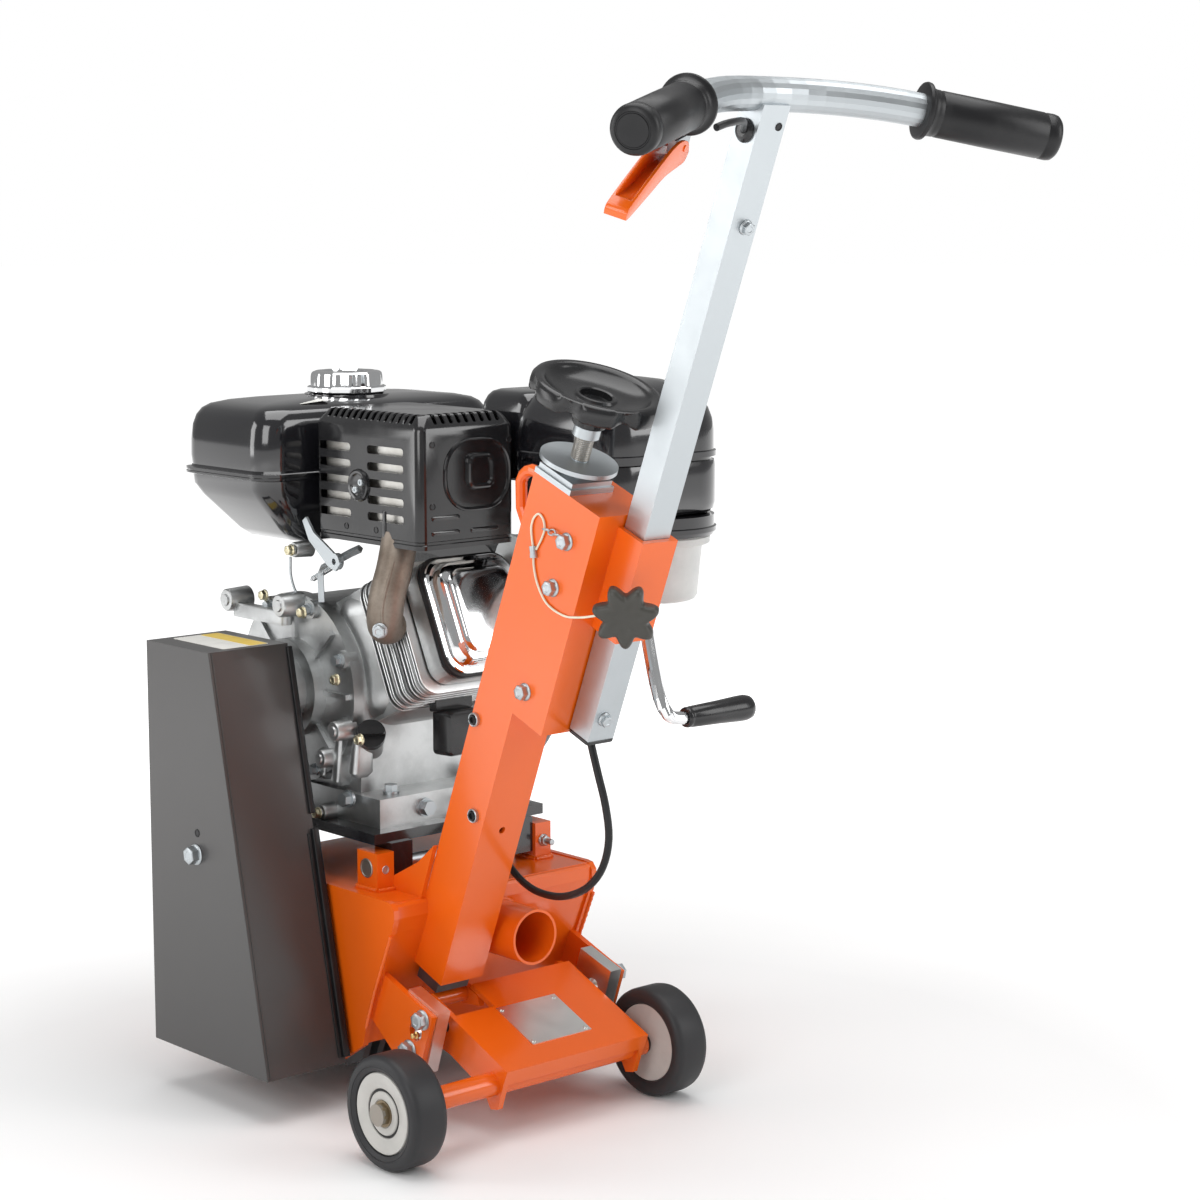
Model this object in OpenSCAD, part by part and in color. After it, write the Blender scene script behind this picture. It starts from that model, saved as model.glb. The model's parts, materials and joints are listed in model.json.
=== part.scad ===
// Walk-behind concrete floor planer: drum housing, petrol engine, belt guard,
// rear axle arm with a depth spindle, leaning post and a height-adjustable handle mast.
// Frame: millimetres, +X to the operator's right, +Y in the direction of travel, +Z up.
// The origin lies on the ground, under the axle, midway between the rear wheels.

/* [Wheels] */
// Rear tyre diameter
tyre_d = 105; // [90:1:125]
// Rear tyre width
tyre_w = 38; // [28:1:44]
// Distance between the outer faces of the rear wheels
track_outer = 354; // [340:1:420]
// Diameter of the rear axle rod
axle_d = 15; // [10:1:18]
// Diameter of the front support wheels
front_wheel_d = 56; // [44:1:60]

/* [Drum housing] */
// Outer width of the drum housing
housing_w = 250; // [230:1:280]
// Sideways offset of the housing centre from the wheel centre
housing_x = 38; // [30:1:45]
// Thickness of the housing side plates
plate_t = 6; // [4:0.5:8]
// Thickness of the housing top, rear and front sheets
sheet_t = 4; // [3:0.5:5]
// Radius of the circle swept by the cutter tips
cutter_r = 92; // [80:1:93]
// Working width of the cutter drum
drum_w = 200; // [150:1:210]
// Diameter of the drum shaft
drum_shaft_d = 30; // [24:1:36]
// Outer diameter of the vacuum port
port_d = 53; // [40:1:60]
// Wall of the vacuum port
port_wall = 2.5; // [1.5:0.5:4]

/* [Axle arm] */
// Width of the folded deck plate
deck_w = 174; // [150:1:176]
// Thickness of the folded deck plate
deck_t = 5; // [3:0.5:6]
// Diameter of the axle tube
axle_tube_d = 22; // [20:1:28]
// Diameter of the arm pivot pins
pivot_pin_d = 18; // [12:1:22]

/* [Post] */
// Side of the square post tube
post_sq = 50; // [45:1:55]
// Wall of the post and sleeve
post_wall = 4; // [3:0.5:5]
// Length of the post tube
post_len = 508; // [480:1:560]
// Backward lean of the post in degrees
lean = 21.2; // [15:0.1:25]
// Depth of the upper sleeve, front to back
sleeve_d = 92; // [85:1:100]
// Width of the upper sleeve
sleeve_w = 66; // [60:1:72]
// Length of the upper sleeve
sleeve_len = 215; // [190:1:240]
// Diameter of the depth spindle
spindle_d = 16; // [12:1:20]
// Diameter of the depth handwheel
handwheel_d = 118; // [90:1:130]

/* [Mast and handle] */
// Width of the square mast tube
mast_w = 30; // [26:1:34]
// Depth of the mast tube
mast_d = 26; // [22:1:30]
// Length of the mast tube
mast_len = 588; // [500:1:650]
// Diameter of the handlebar tube
bar_d = 28; // [22:1:32]
// Outer diameter of the rubber grips
grip_d = 39; // [34:1:44]
// Length of the rubber grips
grip_len = 123; // [100:1:135]

/* [Engine] */
// Height of the engine base above the ground
base_z = 262; // [258:1:270]
// Height of the crankshaft above the engine base
crank_h = 122; // [110:1:130]
// Diameter of the fuel cap
cap_d = 76; // [60:1:86]
// Width of the fuel tank across the machine
tank_w = 286; // [240:1:300]
// Radius of the crank pulley core
crank_pulley_r = 34; // [28:1:38]
// Radius of the drum pulley core
drum_pulley_r = 44; // [36:1:52]

/* [Hidden] */

run_gap = 0.05;      // radial clearance of a running fit
move_gap = 0.4;      // gap between bodies that pass each other
round_n = 64;        // facets of true circles
front_limit = 412.6;   // foremost reach of the tank and the front wheels
wheel_z = tyre_d / 2;
wheel_x = track_outer / 2 - tyre_w / 2;
inner_w = housing_w - 2 * plate_t;
left_x = housing_x - housing_w / 2;
right_x = housing_x + housing_w / 2;
drum_y = 250;
drum_z = 102;
crank_y = 290;
crank_z = base_z + crank_h;
foot_bolt_y = [184, 383];
tank_l = 149;
tank_x = 48;
tank_y = front_limit - tank_l / 2;
top_z = 210;
front_y = 356;
front_wheel_y = front_limit - 1 - front_wheel_d / 2;
front_wheel_z = front_wheel_d / 2;
pivot_y = 70.6;
pivot_z = 93;
block_t = 13.9;
block_in = 99;
ear_in = block_in + block_t;
ear_t = inner_w / 2 - ear_in;
lug_y = 158;
lug_z = 229.5;
lug_in = 87.5;
lug_w = 19.6;
pin_d = 12;
deck_slope = 22.8;
foot_y = 124.3;
foot_z = 145.8;
post_x = -45.5;
spindle_x = post_x + post_sq / 2;
spindle_t = post_sq / 2;
sleeve_s = post_len - sleeve_len;
mast_t = 106.8;
mast_s = 298;
wall = 2;
lever_s = 424;
lever_t = 59;
lever_d = 12;
collar = [131.8, -344.3, 926.1];
grip_yaw = 26.7;
grip_pitch = 10.5;
opc_roll = -18;
opc_pivot = [14, 0, -30];
knob_s = 440;
neck_at = [-22, 214, 330];
neck_turn = [60, 0, -35];
elbow_r = 12;

// Outline of the housing side plates in the YZ plane
side_outline = [[93.5, 195], [94, 203], [99, 209], [106, top_z], [330, top_z], [front_y, 188],
    [front_y, 40], [180, 40], [143.7, 63], [138.7, 82], [122.4, 125], [98.4, 180]];
// Outline of the belt guard in the YZ plane
guard_outline = [[348, 44.5], [348, 436.6], [244.4, 436.6], [160.1, 44.5]];
guard_x0 = -185.4;
guard_x1 = -95;
pulley_x = -153.5;

// Hand-set route of the stop-switch cable from the mast cap to the engine
stop_route = [[0, -81, 379], [2, -89, 350], [6, -95, 320], [10, -95, 290], [12, -85, 262],
    [14, -64, 240], [18, -34, 225], [24, 0, 217], [32, 40, 216], [42, 80, 226], [50, 108, 246],
    [54, 128, 264], [54, 146, 274], [53, 165, 277]];
// Hand-set route of the short cable between the safety lever clamp and the mast
opc_route = [[-104, -345, 909], [-92, -344, 912], [-76, -339, 910], [-58, -330, 903],
    [-40, -318, 895], [-26, -306, 890], [-16, -296, 888]];
// Hand-set route of the lanyard over the left face of the sleeve, as [x, s, t] on the post
lanyard_route = [[-47, 446, 28.4], [-47, 458, 31.5], [-47, 468, 32], [-47, 475, 27], [-47, 476.5, 20],
    [-47, 470, 15.5], [-47, 461, 15.5], [-47, 452, 20], [-47, 444, 25], [-47, 432, 30], [-47, 422, 37],
    [-47, 414, 46], [-47, 408.5, 56], [-47, 407, 66], [-47, 407.5, 76], [-47, 409.5, 86],
    [-46.5, 414, 96], [-44, 420, 107], [-36.8, 430, 121.6], [-29.3, 434.5, 129.1]];

// Pivot and lower end of the lift lever
lever_pivot = [0, foot_y - lever_s * sin(lean) - lever_t * cos(lean),
    foot_z + lever_s * cos(lean) - lever_t * sin(lean)];
lever_low = [78, -119, 394];
// Centre line of one half of the handlebar
bar_end = [0, -293, 938];
bar_dir = [cos(grip_pitch) * cos(grip_yaw), -cos(grip_pitch) * sin(grip_yaw), -sin(grip_pitch)];
bar_half = [for (i = [0:8]) bezier(bar_end, bar_end + [50, 0, 0], collar - 50 * bar_dir, collar, i / 8)];

function unit(a) = a / norm(a);
function along(p, i) = unit(p[min(i + 1, len(p) - 1)] - p[max(i - 1, 0)]);
function spline(a, b, c, d, t) = 0.5 * ((2 * b) + (c - a) * t + (2 * a - 5 * b + 4 * c - d) * t * t
    + (3 * b - a - 3 * c + d) * t * t * t);
// Smooth curve through the route's points with k steps per span
function smooth(p, k) = concat([for (i = [0:len(p) - 2], j = [0:k - 1])
    spline(p[max(i - 1, 0)], p[i], p[i + 1], p[min(i + 2, len(p) - 1)], j / k)], [p[len(p) - 1]]);
function ring_at(p, i, r, n, ref) = let (t = along(p, i), a = unit(cross(t, ref)), b = cross(t, a))
    [for (k = [0:n - 1]) p[i] + r * (cos(360 * k / n) * a + sin(360 * k / n) * b)];
function bezier(a, b, c, d, t) = pow(1 - t, 3) * a + 3 * t * pow(1 - t, 2) * b
    + 3 * t * t * (1 - t) * c + pow(t, 3) * d;
// Outline round two circles, as a belt runs
function belt_line(c1, r1, c2, r2, n) = let (d = norm(c2 - c1),
    a = atan2(c2.y - c1.y, c2.x - c1.x), b = acos((r1 - r2) / d)) concat(
    [for (i = [0:n]) c1 + r1 * [cos(a + b + i * (360 - 2 * b) / n), sin(a + b + i * (360 - 2 * b) / n)]],
    [for (i = [0:n]) c2 + r2 * [cos(a - b + i * 2 * b / n), sin(a - b + i * 2 * b / n)]]);
function arc(cx, cy, r, a0, a1, n) = [for (i = [0:n]) [cx + r * cos(a0 + (a1 - a0) * i / n),
    cy + r * sin(a0 + (a1 - a0) * i / n)]];
// Rounded rectangle outline, centred
function round_rect(w, h, r) = concat(arc(w / 2 - r, h / 2 - r, r, 0, 90, 6),
    arc(-w / 2 + r, h / 2 - r, r, 90, 180, 6), arc(-w / 2 + r, -h / 2 + r, r, 180, 270, 6),
    arc(w / 2 - r, -h / 2 + r, r, 270, 360, 6));

// Round bar swept along a list of points
module sweep(p, r, n = 8, ref = [0, 0, 1]) {
    rings = [for (i = [0:len(p) - 1]) ring_at(p, i, r, n, ref)];
    points = [for (ring = rings, q = ring) q];
    last = (len(p) - 1) * n;
    sides = [for (i = [0:len(p) - 2], k = [0:n - 1])
        [i * n + k, (i + 1) * n + k, (i + 1) * n + (k + 1) % n, i * n + (k + 1) % n]];
    polyhedron(points, concat([[for (k = [0:n - 1]) k]], sides, [[for (k = [n - 1:-1:0]) last + k]]));
}

module on_post() translate([0, foot_y, foot_z]) rotate([lean, 0, 0]) children();
module at_grip(side) translate([side * collar.x, collar.y, collar.z])
    rotate([0, grip_pitch, side > 0 ? -grip_yaw : 180 + grip_yaw]) children();
// Extrude a YZ outline from x0 to x1
module slab(x0, x1) translate([x0, 0, 0]) rotate([90, 0, 90]) linear_extrude(x1 - x0) children();
module rod_x(x0, x1, y, z, d) translate([x0, y, z]) rotate([0, 90, 0])
    cylinder(h = x1 - x0, d = d, $fn = round_n);
module box(low, high) translate(low) cube(high - low);
// Hexagon bolt head with a flange, axis along +Z from the origin
module hex_head(d, h) {
    cylinder(h = h * 0.3, d = d * 1.2, $fn = 32);
    translate([0, 0, h * 0.3]) cylinder(h = h * 0.7, d = d, $fn = 6);
}

// ---------------------------------------------------------------- chassis
module post_outer() on_post() {
    box([post_x, -post_sq, 0], [post_x + post_sq, 0, post_len]);
}

module side_plate(x0) {
    difference() {
        slab(x0, x0 + plate_t) polygon(side_outline);
        rod_x(x0 - 1, x0 + plate_t + 1, drum_y, drum_z, drum_shaft_d + 16);
    }
}

module ear(x0) {
    difference() {
        slab(x0, x0 + ear_t)
            polygon([[46, 111], [88, 126], [126, 140], [150, 100], [104, 64], [67, 52]]);
        rod_x(x0 - 1, x0 + ear_t + 1, pivot_y, pivot_z, pivot_pin_d + 2 * run_gap);
    }
}

module front_leg(x0) difference() {
    slab(x0, x0 + plate_t) polygon([[front_y - 4, 120], [front_y + 4, 116], [front_wheel_y + 12, 44],
        [front_wheel_y + 12, 16], [front_wheel_y - 12, 16], [front_y - 4, 58]]);
    rod_x(x0 - 1, x0 + plate_t + 1, front_wheel_y, front_wheel_z, 12 + 2 * run_gap);
}

module housing() color("orangered") difference() {
    union() {
        side_plate(left_x);
        side_plate(right_x - plate_t);
        // top sheet and its folded rear lip
        box([left_x + plate_t, 100, top_z - sheet_t - 1], [right_x - plate_t, 346, top_z - 1]);
        // rear wall, set just inside the plates' rear edge
        slab(left_x + plate_t, right_x - plate_t) polygon([[96, 205], [96, 194], [101, 180],
            [125, 126], [141.5, 82], [146, 64], [150, 64], [146, 84], [129.5, 128], [105.5, 182],
            [101, 195], [102, 209], [97.5, 207.5]]);
        // front wall
        box([left_x + plate_t, front_y - 8, 62], [right_x - plate_t, front_y - 4, 200]);
        slab(left_x + plate_t, right_x - plate_t)
            polygon([[330, 209], [front_y - 4, 188], [front_y - 4, 182], [330, 203]]);
        ear(housing_x - inner_w / 2);
        ear(housing_x + ear_in);
        front_leg(housing_x - 84);
        front_leg(housing_x + 84 - plate_t);
        // lugs for the engine plate hinge
        for (side = [-1, 1]) box([housing_x + side * (lug_in + lug_w / 2) - lug_w / 2, 142, top_z - 4],
            [housing_x + side * (lug_in + lug_w / 2) + lug_w / 2, 173, 245.4]);
        // gussets between the post and the top sheet
        for (x0 = [post_x - 5, post_x + post_sq]) slab(x0, x0 + 5)
            polygon([[100, top_z - 2], [94, 225], [80, 262], [104, 242], [142, 222], [152, top_z - 2]]);
    }
    post_outer();
    rod_x(left_x, right_x, lug_y, lug_z, pin_d + 2 * run_gap);
    translate([housing_x, 0, 167]) rotate([-90, 0, 0]) cylinder(h = 140, d = port_d, $fn = round_n);
    for (side = [-1, 1]) translate([housing_x + side * (lug_in + lug_w / 2), 130, lug_z])
        rotate([-90, 0, 0]) cylinder(h = 20, d = 5, $fn = 24);
}

module pivot_blocks() color("lightsteelblue") for (side = [-1, 1]) difference() {
    translate([housing_x + side * (block_in + block_t / 2), 75.8, 90.4]) rotate([17.9, 0, 0])
        cube([block_t, 46.5, 65], center = true);
    rod_x(housing_x - 130, housing_x + 130, pivot_y, pivot_z, pivot_pin_d + 2 * run_gap);
}

module bolt_x(x, y, z, d, h, side) translate([x, y, z]) rotate([0, side * 90, 0]) hex_head(d, h);

module frame_bolts() color("gainsboro") {
    for (side = [-1, 1]) {
        x = housing_x + side * inner_w / 2;
        bolt_x(x, 60, 106, 15, 8, side);
        bolt_x(x, 80, 73, 15, 8, side);
        // stub pin on which the arm swings
        pin_in = housing_x + side * (deck_w / 2 - 7);
        pin_out = x + side * 3;
        rod_x(min(pin_in, pin_out), max(pin_in, pin_out), pivot_y, pivot_z, pivot_pin_d);
    }
    on_post() {
        for (p = [[469.6, 61], [423.7, 59], [319.5, 58.5]])
            translate([post_x, -p.y, p.x]) rotate([0, -90, 0]) hex_head(13, 8);
        for (p = [[262, 6], [178, 36]])
            translate([post_x, -p.y, p.x]) rotate([0, -90, 0]) cylinder(h = 4, d = 13, $fn = 32);
    }
    translate([guard_x0, 269, 241]) rotate([0, -90, 0]) hex_head(16, 9);
    translate([housing_x + lug_in + lug_w / 2, 142, lug_z - 2]) rotate([90, 0, 0]) hex_head(8, 10);
}

module vacuum_port() color("orangered") translate([housing_x, 40, 167]) rotate([-90, 0, 0])
    difference() {
        cylinder(h = 76, d = port_d, $fn = round_n);
        translate([0, 0, -1]) cylinder(h = 90, d = port_d - 2 * port_wall, $fn = round_n);
    }

module post() color("orangered") on_post() difference() {
    union() {
        box([post_x, -post_sq, 0], [post_x + post_sq, 0, post_len]);
        box([post_x, -sleeve_d, sleeve_s], [post_x + sleeve_w, 0, post_len]);
    }
    box([post_x + post_wall, -post_sq + post_wall, -1],
        [post_x + post_sq - post_wall, -post_wall, post_len - 6]);
    box([post_x + post_wall, -sleeve_d + post_wall, sleeve_s + post_wall],
        [post_x + sleeve_w - post_wall, -post_sq, post_len - 6]);
    translate([spindle_x, -spindle_t, post_len - 20]) cylinder(h = 40, d = spindle_d + 2, $fn = round_n);
    translate([post_x + sleeve_w - 10, -lever_t, lever_s]) rotate([0, 90, 0])
        cylinder(h = 20, d = lever_d + 2 * run_gap, $fn = round_n);
    // small drain hole in the rear face
    translate([-20, -post_sq - 1, 166]) rotate([-90, 0, 0]) cylinder(h = 8, d = 7, $fn = 32);
}

module post_cap_plates() color("gainsboro") on_post() difference() {
    union() {
        box([post_x, -post_sq, post_len], [post_x + post_sq, 0, post_len + 5]);
        box([post_x + 2, -post_sq + 2, post_len + 5], [post_x + post_sq - 2, -2, post_len + 10]);
        translate([spindle_x, -spindle_t, post_len + 10]) cylinder(h = 4, d = 28, $fn = 6);
    }
    translate([spindle_x, -spindle_t, post_len - 1]) cylinder(h = 20, d = spindle_d + 2 * run_gap, $fn = round_n);
}

module lifting_loop() color("orangered") on_post() {
    loop = concat([[-20.5, 6, 430], [-20.5, 6, 446]], [for (a = [180:-22.5:0])
        [-20.5, 22 + 17 * cos(a), 478 + 17 * sin(a)]], [[-20.5, 30, 456], [-20.5, 12, 440]]);
    sweep(loop, 5.5, 12, [1, 0, 0]);
    translate([-20.5, 5.5, 425]) sphere(d = 11, $fn = 32);
}

module mast_bracket() color("orangered") on_post() {
    g = move_gap;
    half = mast_w / 2 + g;
    back = mast_t + mast_d / 2 + g;
    difference() {
        box([-half - 5, -back - 5, 400], [half + 5, -sleeve_d, 497]);
        box([-half, -back, 399], [half, -sleeve_d + 1, 498]);
        translate([0, -mast_t, knob_s]) rotate([0, 90, 225]) cylinder(h = 60, d = 10.4, $fn = round_n);
    }
    difference() {
        translate([0, -mast_t, knob_s]) rotate([0, 90, 225]) translate([0, 0, 27]) cylinder(h = 8, d = 17, $fn = 6);
        translate([0, -mast_t, knob_s]) rotate([0, 90, 225]) cylinder(h = 60, d = 10.4, $fn = round_n);
        box([-half - 5, -back - 5, 400], [half + 5, -sleeve_d, 497]);
    }
}

module hinge_pin() color("silver") rod_x(housing_x - lug_in - lug_w, housing_x + lug_in + lug_w,
    lug_y, lug_z, pin_d);

module engine_plate() color("#26262a") difference() {
    union() {
        box([housing_x - 104, 150, base_z - 10], [housing_x + 104, 400, base_z]);
        for (side = [-1, 1]) box([housing_x + side * 74.5 - 12.5, 146, lug_z - 12],
            [housing_x + side * 74.5 + 12.5, 172, base_z - 10]);
        box([housing_x - 90, 385, top_z + 14], [housing_x + 90, 391, base_z - 10]);
    }
    rod_x(left_x, right_x, lug_y, lug_z, pin_d + 2 * run_gap);
}

module skirt() color("#1a1a1a") {
    box([left_x + plate_t, front_y - 12, 18], [right_x - plate_t, front_y - 8, 96]);
}

module guard_cover() color("#4b4b4d") difference() {
    slab(guard_x0, guard_x1) polygon(guard_outline);
    slab(guard_x0 + wall, guard_x1 + 1) polygon([[346, 46.5], [346, 434.6], [246, 434.6], [162.1, 46.5]]);
}

module guard_back() color("#2e2e30") difference() {
    union() {
        slab(guard_x1, guard_x1 + 3) polygon([[346, 46], [346, 434], [250, 434], [166.5, 46]]);
        // spacers that carry the plate on the housing side
        rod_x(guard_x1 + 3, left_x, 200, 150, 16);
        rod_x(guard_x1 + 3, left_x, 320, 150, 16);
    }
    rod_x(guard_x1 - 5, guard_x1 + 10, crank_y, crank_z, 70);
    rod_x(guard_x1 - 5, guard_x1 + 10, drum_y, drum_z, 60);
}

module drum_bearings() color("#8c8c8a") for (side = [-1, 1]) difference() {
    union() {
        rod_x(housing_x + side * (inner_w / 2 - 6) - 5, housing_x + side * (inner_w / 2 - 6) + 6,
            drum_y, drum_z, 84);
        rod_x(housing_x + side * (inner_w / 2 + 1) - 6, housing_x + side * (inner_w / 2 + 1) + 5,
            drum_y, drum_z, drum_shaft_d + 16);
    }
    rod_x(housing_x - 140, housing_x + 140, drum_y, drum_z, drum_shaft_d + 2 * run_gap);
}

module belt(x0, w, gap, thick) difference() {
    slab(x0, x0 + w) polygon(belt_line([drum_y, drum_z], drum_pulley_r + gap + thick,
        [crank_y, crank_z], crank_pulley_r + gap + thick, 32));
    slab(x0 - 1, x0 + w + 1) polygon(belt_line([drum_y, drum_z], drum_pulley_r + gap,
        [crank_y, crank_z], crank_pulley_r + gap, 32));
}

module drive_belts() color("#1c1c1c") for (i = [0:1]) belt(pulley_x + 5.5 + i * 18, 12, move_gap, 8);

module pulley(r, x0, bore) difference() {
    union() {
        rod_x(x0, x0 + 42, 0, 0, 2 * r);
        for (i = [0:2]) rod_x(x0 + i * 18, x0 + i * 18 + 5, 0, 0, 2 * r + 20);
    }
    rod_x(x0 - 1, x0 + 43, 0, 0, bore);
}

module lanyard() color("#efe6cf") on_post()
    sweep(smooth([for (p = lanyard_route) [p.x, -p.z, p.y]], 2), 1, 6, [1, 0, 0]);

// ---------------------------------------------------------------- engine
module crankcase() color("#b8babb") {
    difference() {
        union() {
            hull() {
                rod_x(-40, 108, crank_y, crank_z, 176);
                box([-40, 205, base_z + 24], [108, 370, base_z + 60]);
            }
            // mounting foot
            box([-47, 166, base_z], [106, 392, base_z + 28]);
            // cylinder barrel root
            translate([30, crank_y, crank_z]) rotate([-25, 0, 0]) translate([-56, -112, -62])
                cube([112, 60, 124]);
        }
        rod_x(-60, 120, crank_y, crank_z, 50);
        for (y = foot_bolt_y, x = [-20, 88]) translate([x, y, base_z - 1])
            cylinder(h = 30, d = 10, $fn = 32);
    }
    // oil filler neck, clear of the side cover
    difference() {
        translate(neck_at) rotate(neck_turn) cylinder(h = 34, d = 26, $fn = 32);
        rod_x(-60, -40, crank_y, crank_z, 185);
    }
}

module side_cover() color("#c4c6c7") difference() {
    union() {
        rod_x(-52, -40, crank_y, crank_z, 184);
        rod_x(-66, -52, crank_y, crank_z, 96);
        rod_x(-76, -66, crank_y, crank_z, 70);
        for (a = [0:45:315]) translate([-57, crank_y + 84 * cos(a + 20), crank_z + 84 * sin(a + 20)])
            rotate([0, 90, 0]) cylinder(h = 16, d = 18, $fn = 32);
        for (a = [0:45:315]) translate([-56, crank_y, crank_z]) rotate([a, 0, 0])
            box([0, 40, -2.5], [6, 84, 2.5]);
    }
    rod_x(-80, -30, crank_y, crank_z, 50);
}

module cylinder_frame() translate([30, crank_y, crank_z]) rotate([-25, 0, 0]) children();

module cylinder_block() color("#8f9192") cylinder_frame() {
    rotate([90, 0, 0]) {
        translate([0, 0, 112]) cylinder(h = 66, d = 96, $fn = round_n);
        for (i = [0:6]) translate([0, 0, 113 + i * 8]) linear_extrude(2.4)
            polygon(round_rect(132 - (i % 2) * 4, 128, 16));
        translate([0, 0, 172]) linear_extrude(20) polygon(round_rect(112, 116, 18));
    }
}

module valve_cover() color("silver") cylinder_frame() rotate([90, 0, 0]) {
    translate([0, 0, 192]) linear_extrude(5) polygon(round_rect(104, 112, 20));
    translate([0, 0, 197]) linear_extrude(14) polygon(round_rect(94, 102, 22));
    translate([0, 0, 211]) linear_extrude(5) polygon(round_rect(78, 84, 22));
}

module exhaust_pipe() color("#6a5f57") {
    route = [[-42, 152, 452], [-49, 147, 454], [-56, 141, 462], [-57, 138, 478], [-50, 138, 500],
        [-40, 143, 518], [-34, 146, 532], [-34, 146, 543]];
    sweep(smooth(route, 3), elbow_r, 16, [1, 0, 0]);
    rod_x(-43, -36.5, 150, 452, 44);
}

module muffler() color("#a5a49f") {
    box([-42, 106, 545], [54, 250, 640]);
}

module muffler_guard() color("#222226") difference() {
    hull() {
        box([-50, 97, 534], [64, 258, 645]);
        box([-39, 108, 645], [53, 247, 658]);
    }
    box([-48, 99, 532], [62, 256, 643]);
    box([-37, 110, 630], [51, 245, 656]);
    // vent slots in the left face, in two columns
    for (i = [0:4], y = [[122, 178], [201, 253]])
        box([-60, y[0], 557 + i * 15.6], [-47, y[1], 564 + i * 15.6]);
}

module fuel_tank() color("#141416") translate([tank_x, tank_y, 0]) {
    // upper shell
    hull() for (x = [-1, 1], y = [-1, 1]) {
        translate([x * (tank_w / 2 - 16), y * (tank_l / 2 - 18), 598]) sphere(r = 12, $fn = 24);
        translate([x * (tank_w / 2 - 30), y * (tank_l / 2 - 32), 630]) sphere(r = 20, $fn = 24);
        translate([0, 0, 648]) cylinder(h = 8, r = 46, $fn = 32);
    }
    // seam flange
    translate([0, 0, 589]) linear_extrude(5) polygon(round_rect(tank_w, tank_l, 24));
    // lower shell
    hull() {
        translate([0, 0, 588]) linear_extrude(1) polygon(round_rect(tank_w - 12, tank_l - 12, 20));
        translate([2, -2, 560]) linear_extrude(1) polygon(round_rect(tank_w - 22, tank_l - 22, 20));
        translate([14, -4, 524]) linear_extrude(1) polygon(round_rect(tank_w - 84, tank_l - 56, 22));
    }
    // filler neck
    translate([0, 0, 655]) cylinder(h = 8, d = 58, $fn = round_n);
}

module fuel_cap() color("silver") translate([tank_x, tank_y, 663.5]) difference() {
    union() {
        cylinder(h = 21, d = cap_d, $fn = round_n);
        for (a = [0:15:345]) rotate([0, 0, a]) translate([cap_d / 2 - 1, 0, 2])
            cylinder(h = 18, d = 5, $fn = 24);
    }
    translate([0, 0, 18]) cylinder(h = 4, d = cap_d - 14, $fn = round_n);
}

module air_cleaner() color("#17171a") {
    hull() {
        translate([150, 52, 560]) linear_extrude(90) polygon(round_rect(168, 150, 40));
        translate([150, 52, 650]) linear_extrude(26) polygon(round_rect(140, 122, 50));
        translate([146, 54, 676]) cylinder(h = 12, r = 40, $fn = 32);
    }
    // duct towards the carburettor, beside the silencer
    hull() {
        translate([112, 126, 590]) linear_extrude(68) polygon(round_rect(80, 84, 20));
        translate([112, 126, 600]) linear_extrude(74) polygon(round_rect(62, 66, 22));
    }
    translate([150, 52, 612]) linear_extrude(8) polygon(round_rect(169, 156, 42));
    // pre-cleaner ring above the bowl
    translate([168, 22, 540]) cylinder(h = 20, d = 124, $fn = round_n);
}

module cleaner_bowl() color([0.92, 0.92, 0.9, 0.6]) translate([168, 22, 0]) difference() {
    union() {
        translate([0, 0, 478]) cylinder(h = 62, d1 = 88, d2 = 98, $fn = round_n);
        translate([0, 0, 532]) cylinder(h = 8, d = 112, $fn = round_n);
    }
    translate([0, 0, 482]) cylinder(h = 70, d1 = 82, d2 = 92, $fn = round_n);
}

module carburettor() color("#9a9c9d") {
    rod_x(96.5, 104, 140, 505, 56);
    box([104, 120, 472], [142, 166, 530]);
    translate([122, 144, 448]) cylinder(h = 24, d = 40, $fn = round_n);
    translate([122, 120, 505]) rotate([90, 0, 0]) cylinder(h = 24, d = 42, $fn = round_n);
    box([118, 92, 520], [146, 104, 560]);
}

module fan_housing() color("#1b1b1e") {
    difference() {
        union() {
            rod_x(110, 196, crank_y, crank_z, 236);
            hull() {
                rod_x(110, 184, crank_y, crank_z, 230);
                box([110, 180, 500], [180, 330, 520]);
            }
            rod_x(196, 222, crank_y, crank_z, 196);
            rod_x(222, 234, crank_y, crank_z, 150);
            rod_x(234, 240, crank_y, crank_z, 90);
        }
        rod_x(196, 250, crank_y, crank_z, 20);
        for (a = [0:20:340]) translate([0, crank_y, crank_z]) rotate([a, 0, 0])
            box([216, 56, -5], [240, 68, 5]);
        rod_x(190, 214, crank_y, crank_z, 150);
        // rope outlet
        translate([207, crank_y - 60, crank_z + 60]) rotate([45, 0, 0]) cylinder(h = 60, d = 12, $fn = 32);
    }
}

module engine_bolts() color("gainsboro") {
    for (a = [0:45:315]) translate([-57, crank_y + 84 * cos(a + 20), crank_z + 84 * sin(a + 20)])
        rotate([0, -90, 0]) hex_head(10, 7);
    for (y = foot_bolt_y, x = [-20, 88]) translate([x, y, base_z + 28]) hex_head(13, 9);
    translate([6, 166, base_z + 14]) rotate([90, 0, 0]) hex_head(15, 10);
    translate([-52, 206, 286]) rotate([0, -90, 0]) hex_head(14, 10);
}

module dipstick() color("#1a1a1a") translate(neck_at) rotate(neck_turn) {
    translate([0, 0, 34.5]) cylinder(h = 9, d = 28, $fn = round_n);
    translate([0, 0, 43.5]) linear_extrude(9) polygon(round_rect(26, 7, 3));
}

module throttle_lever() color("gainsboro") difference() {
    union() {
        translate([-56, 0, 0]) slab(0, 2.5) polygon([[212, 512], [220, 504], [232, 508], [262, 530],
            [272, 548], [266, 552], [254, 538], [224, 522]]);
        rod_x(-56, -50, 222, 513, 16);
    }
    rod_x(-60, -40, 222, 513, 6.1);
}

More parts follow.
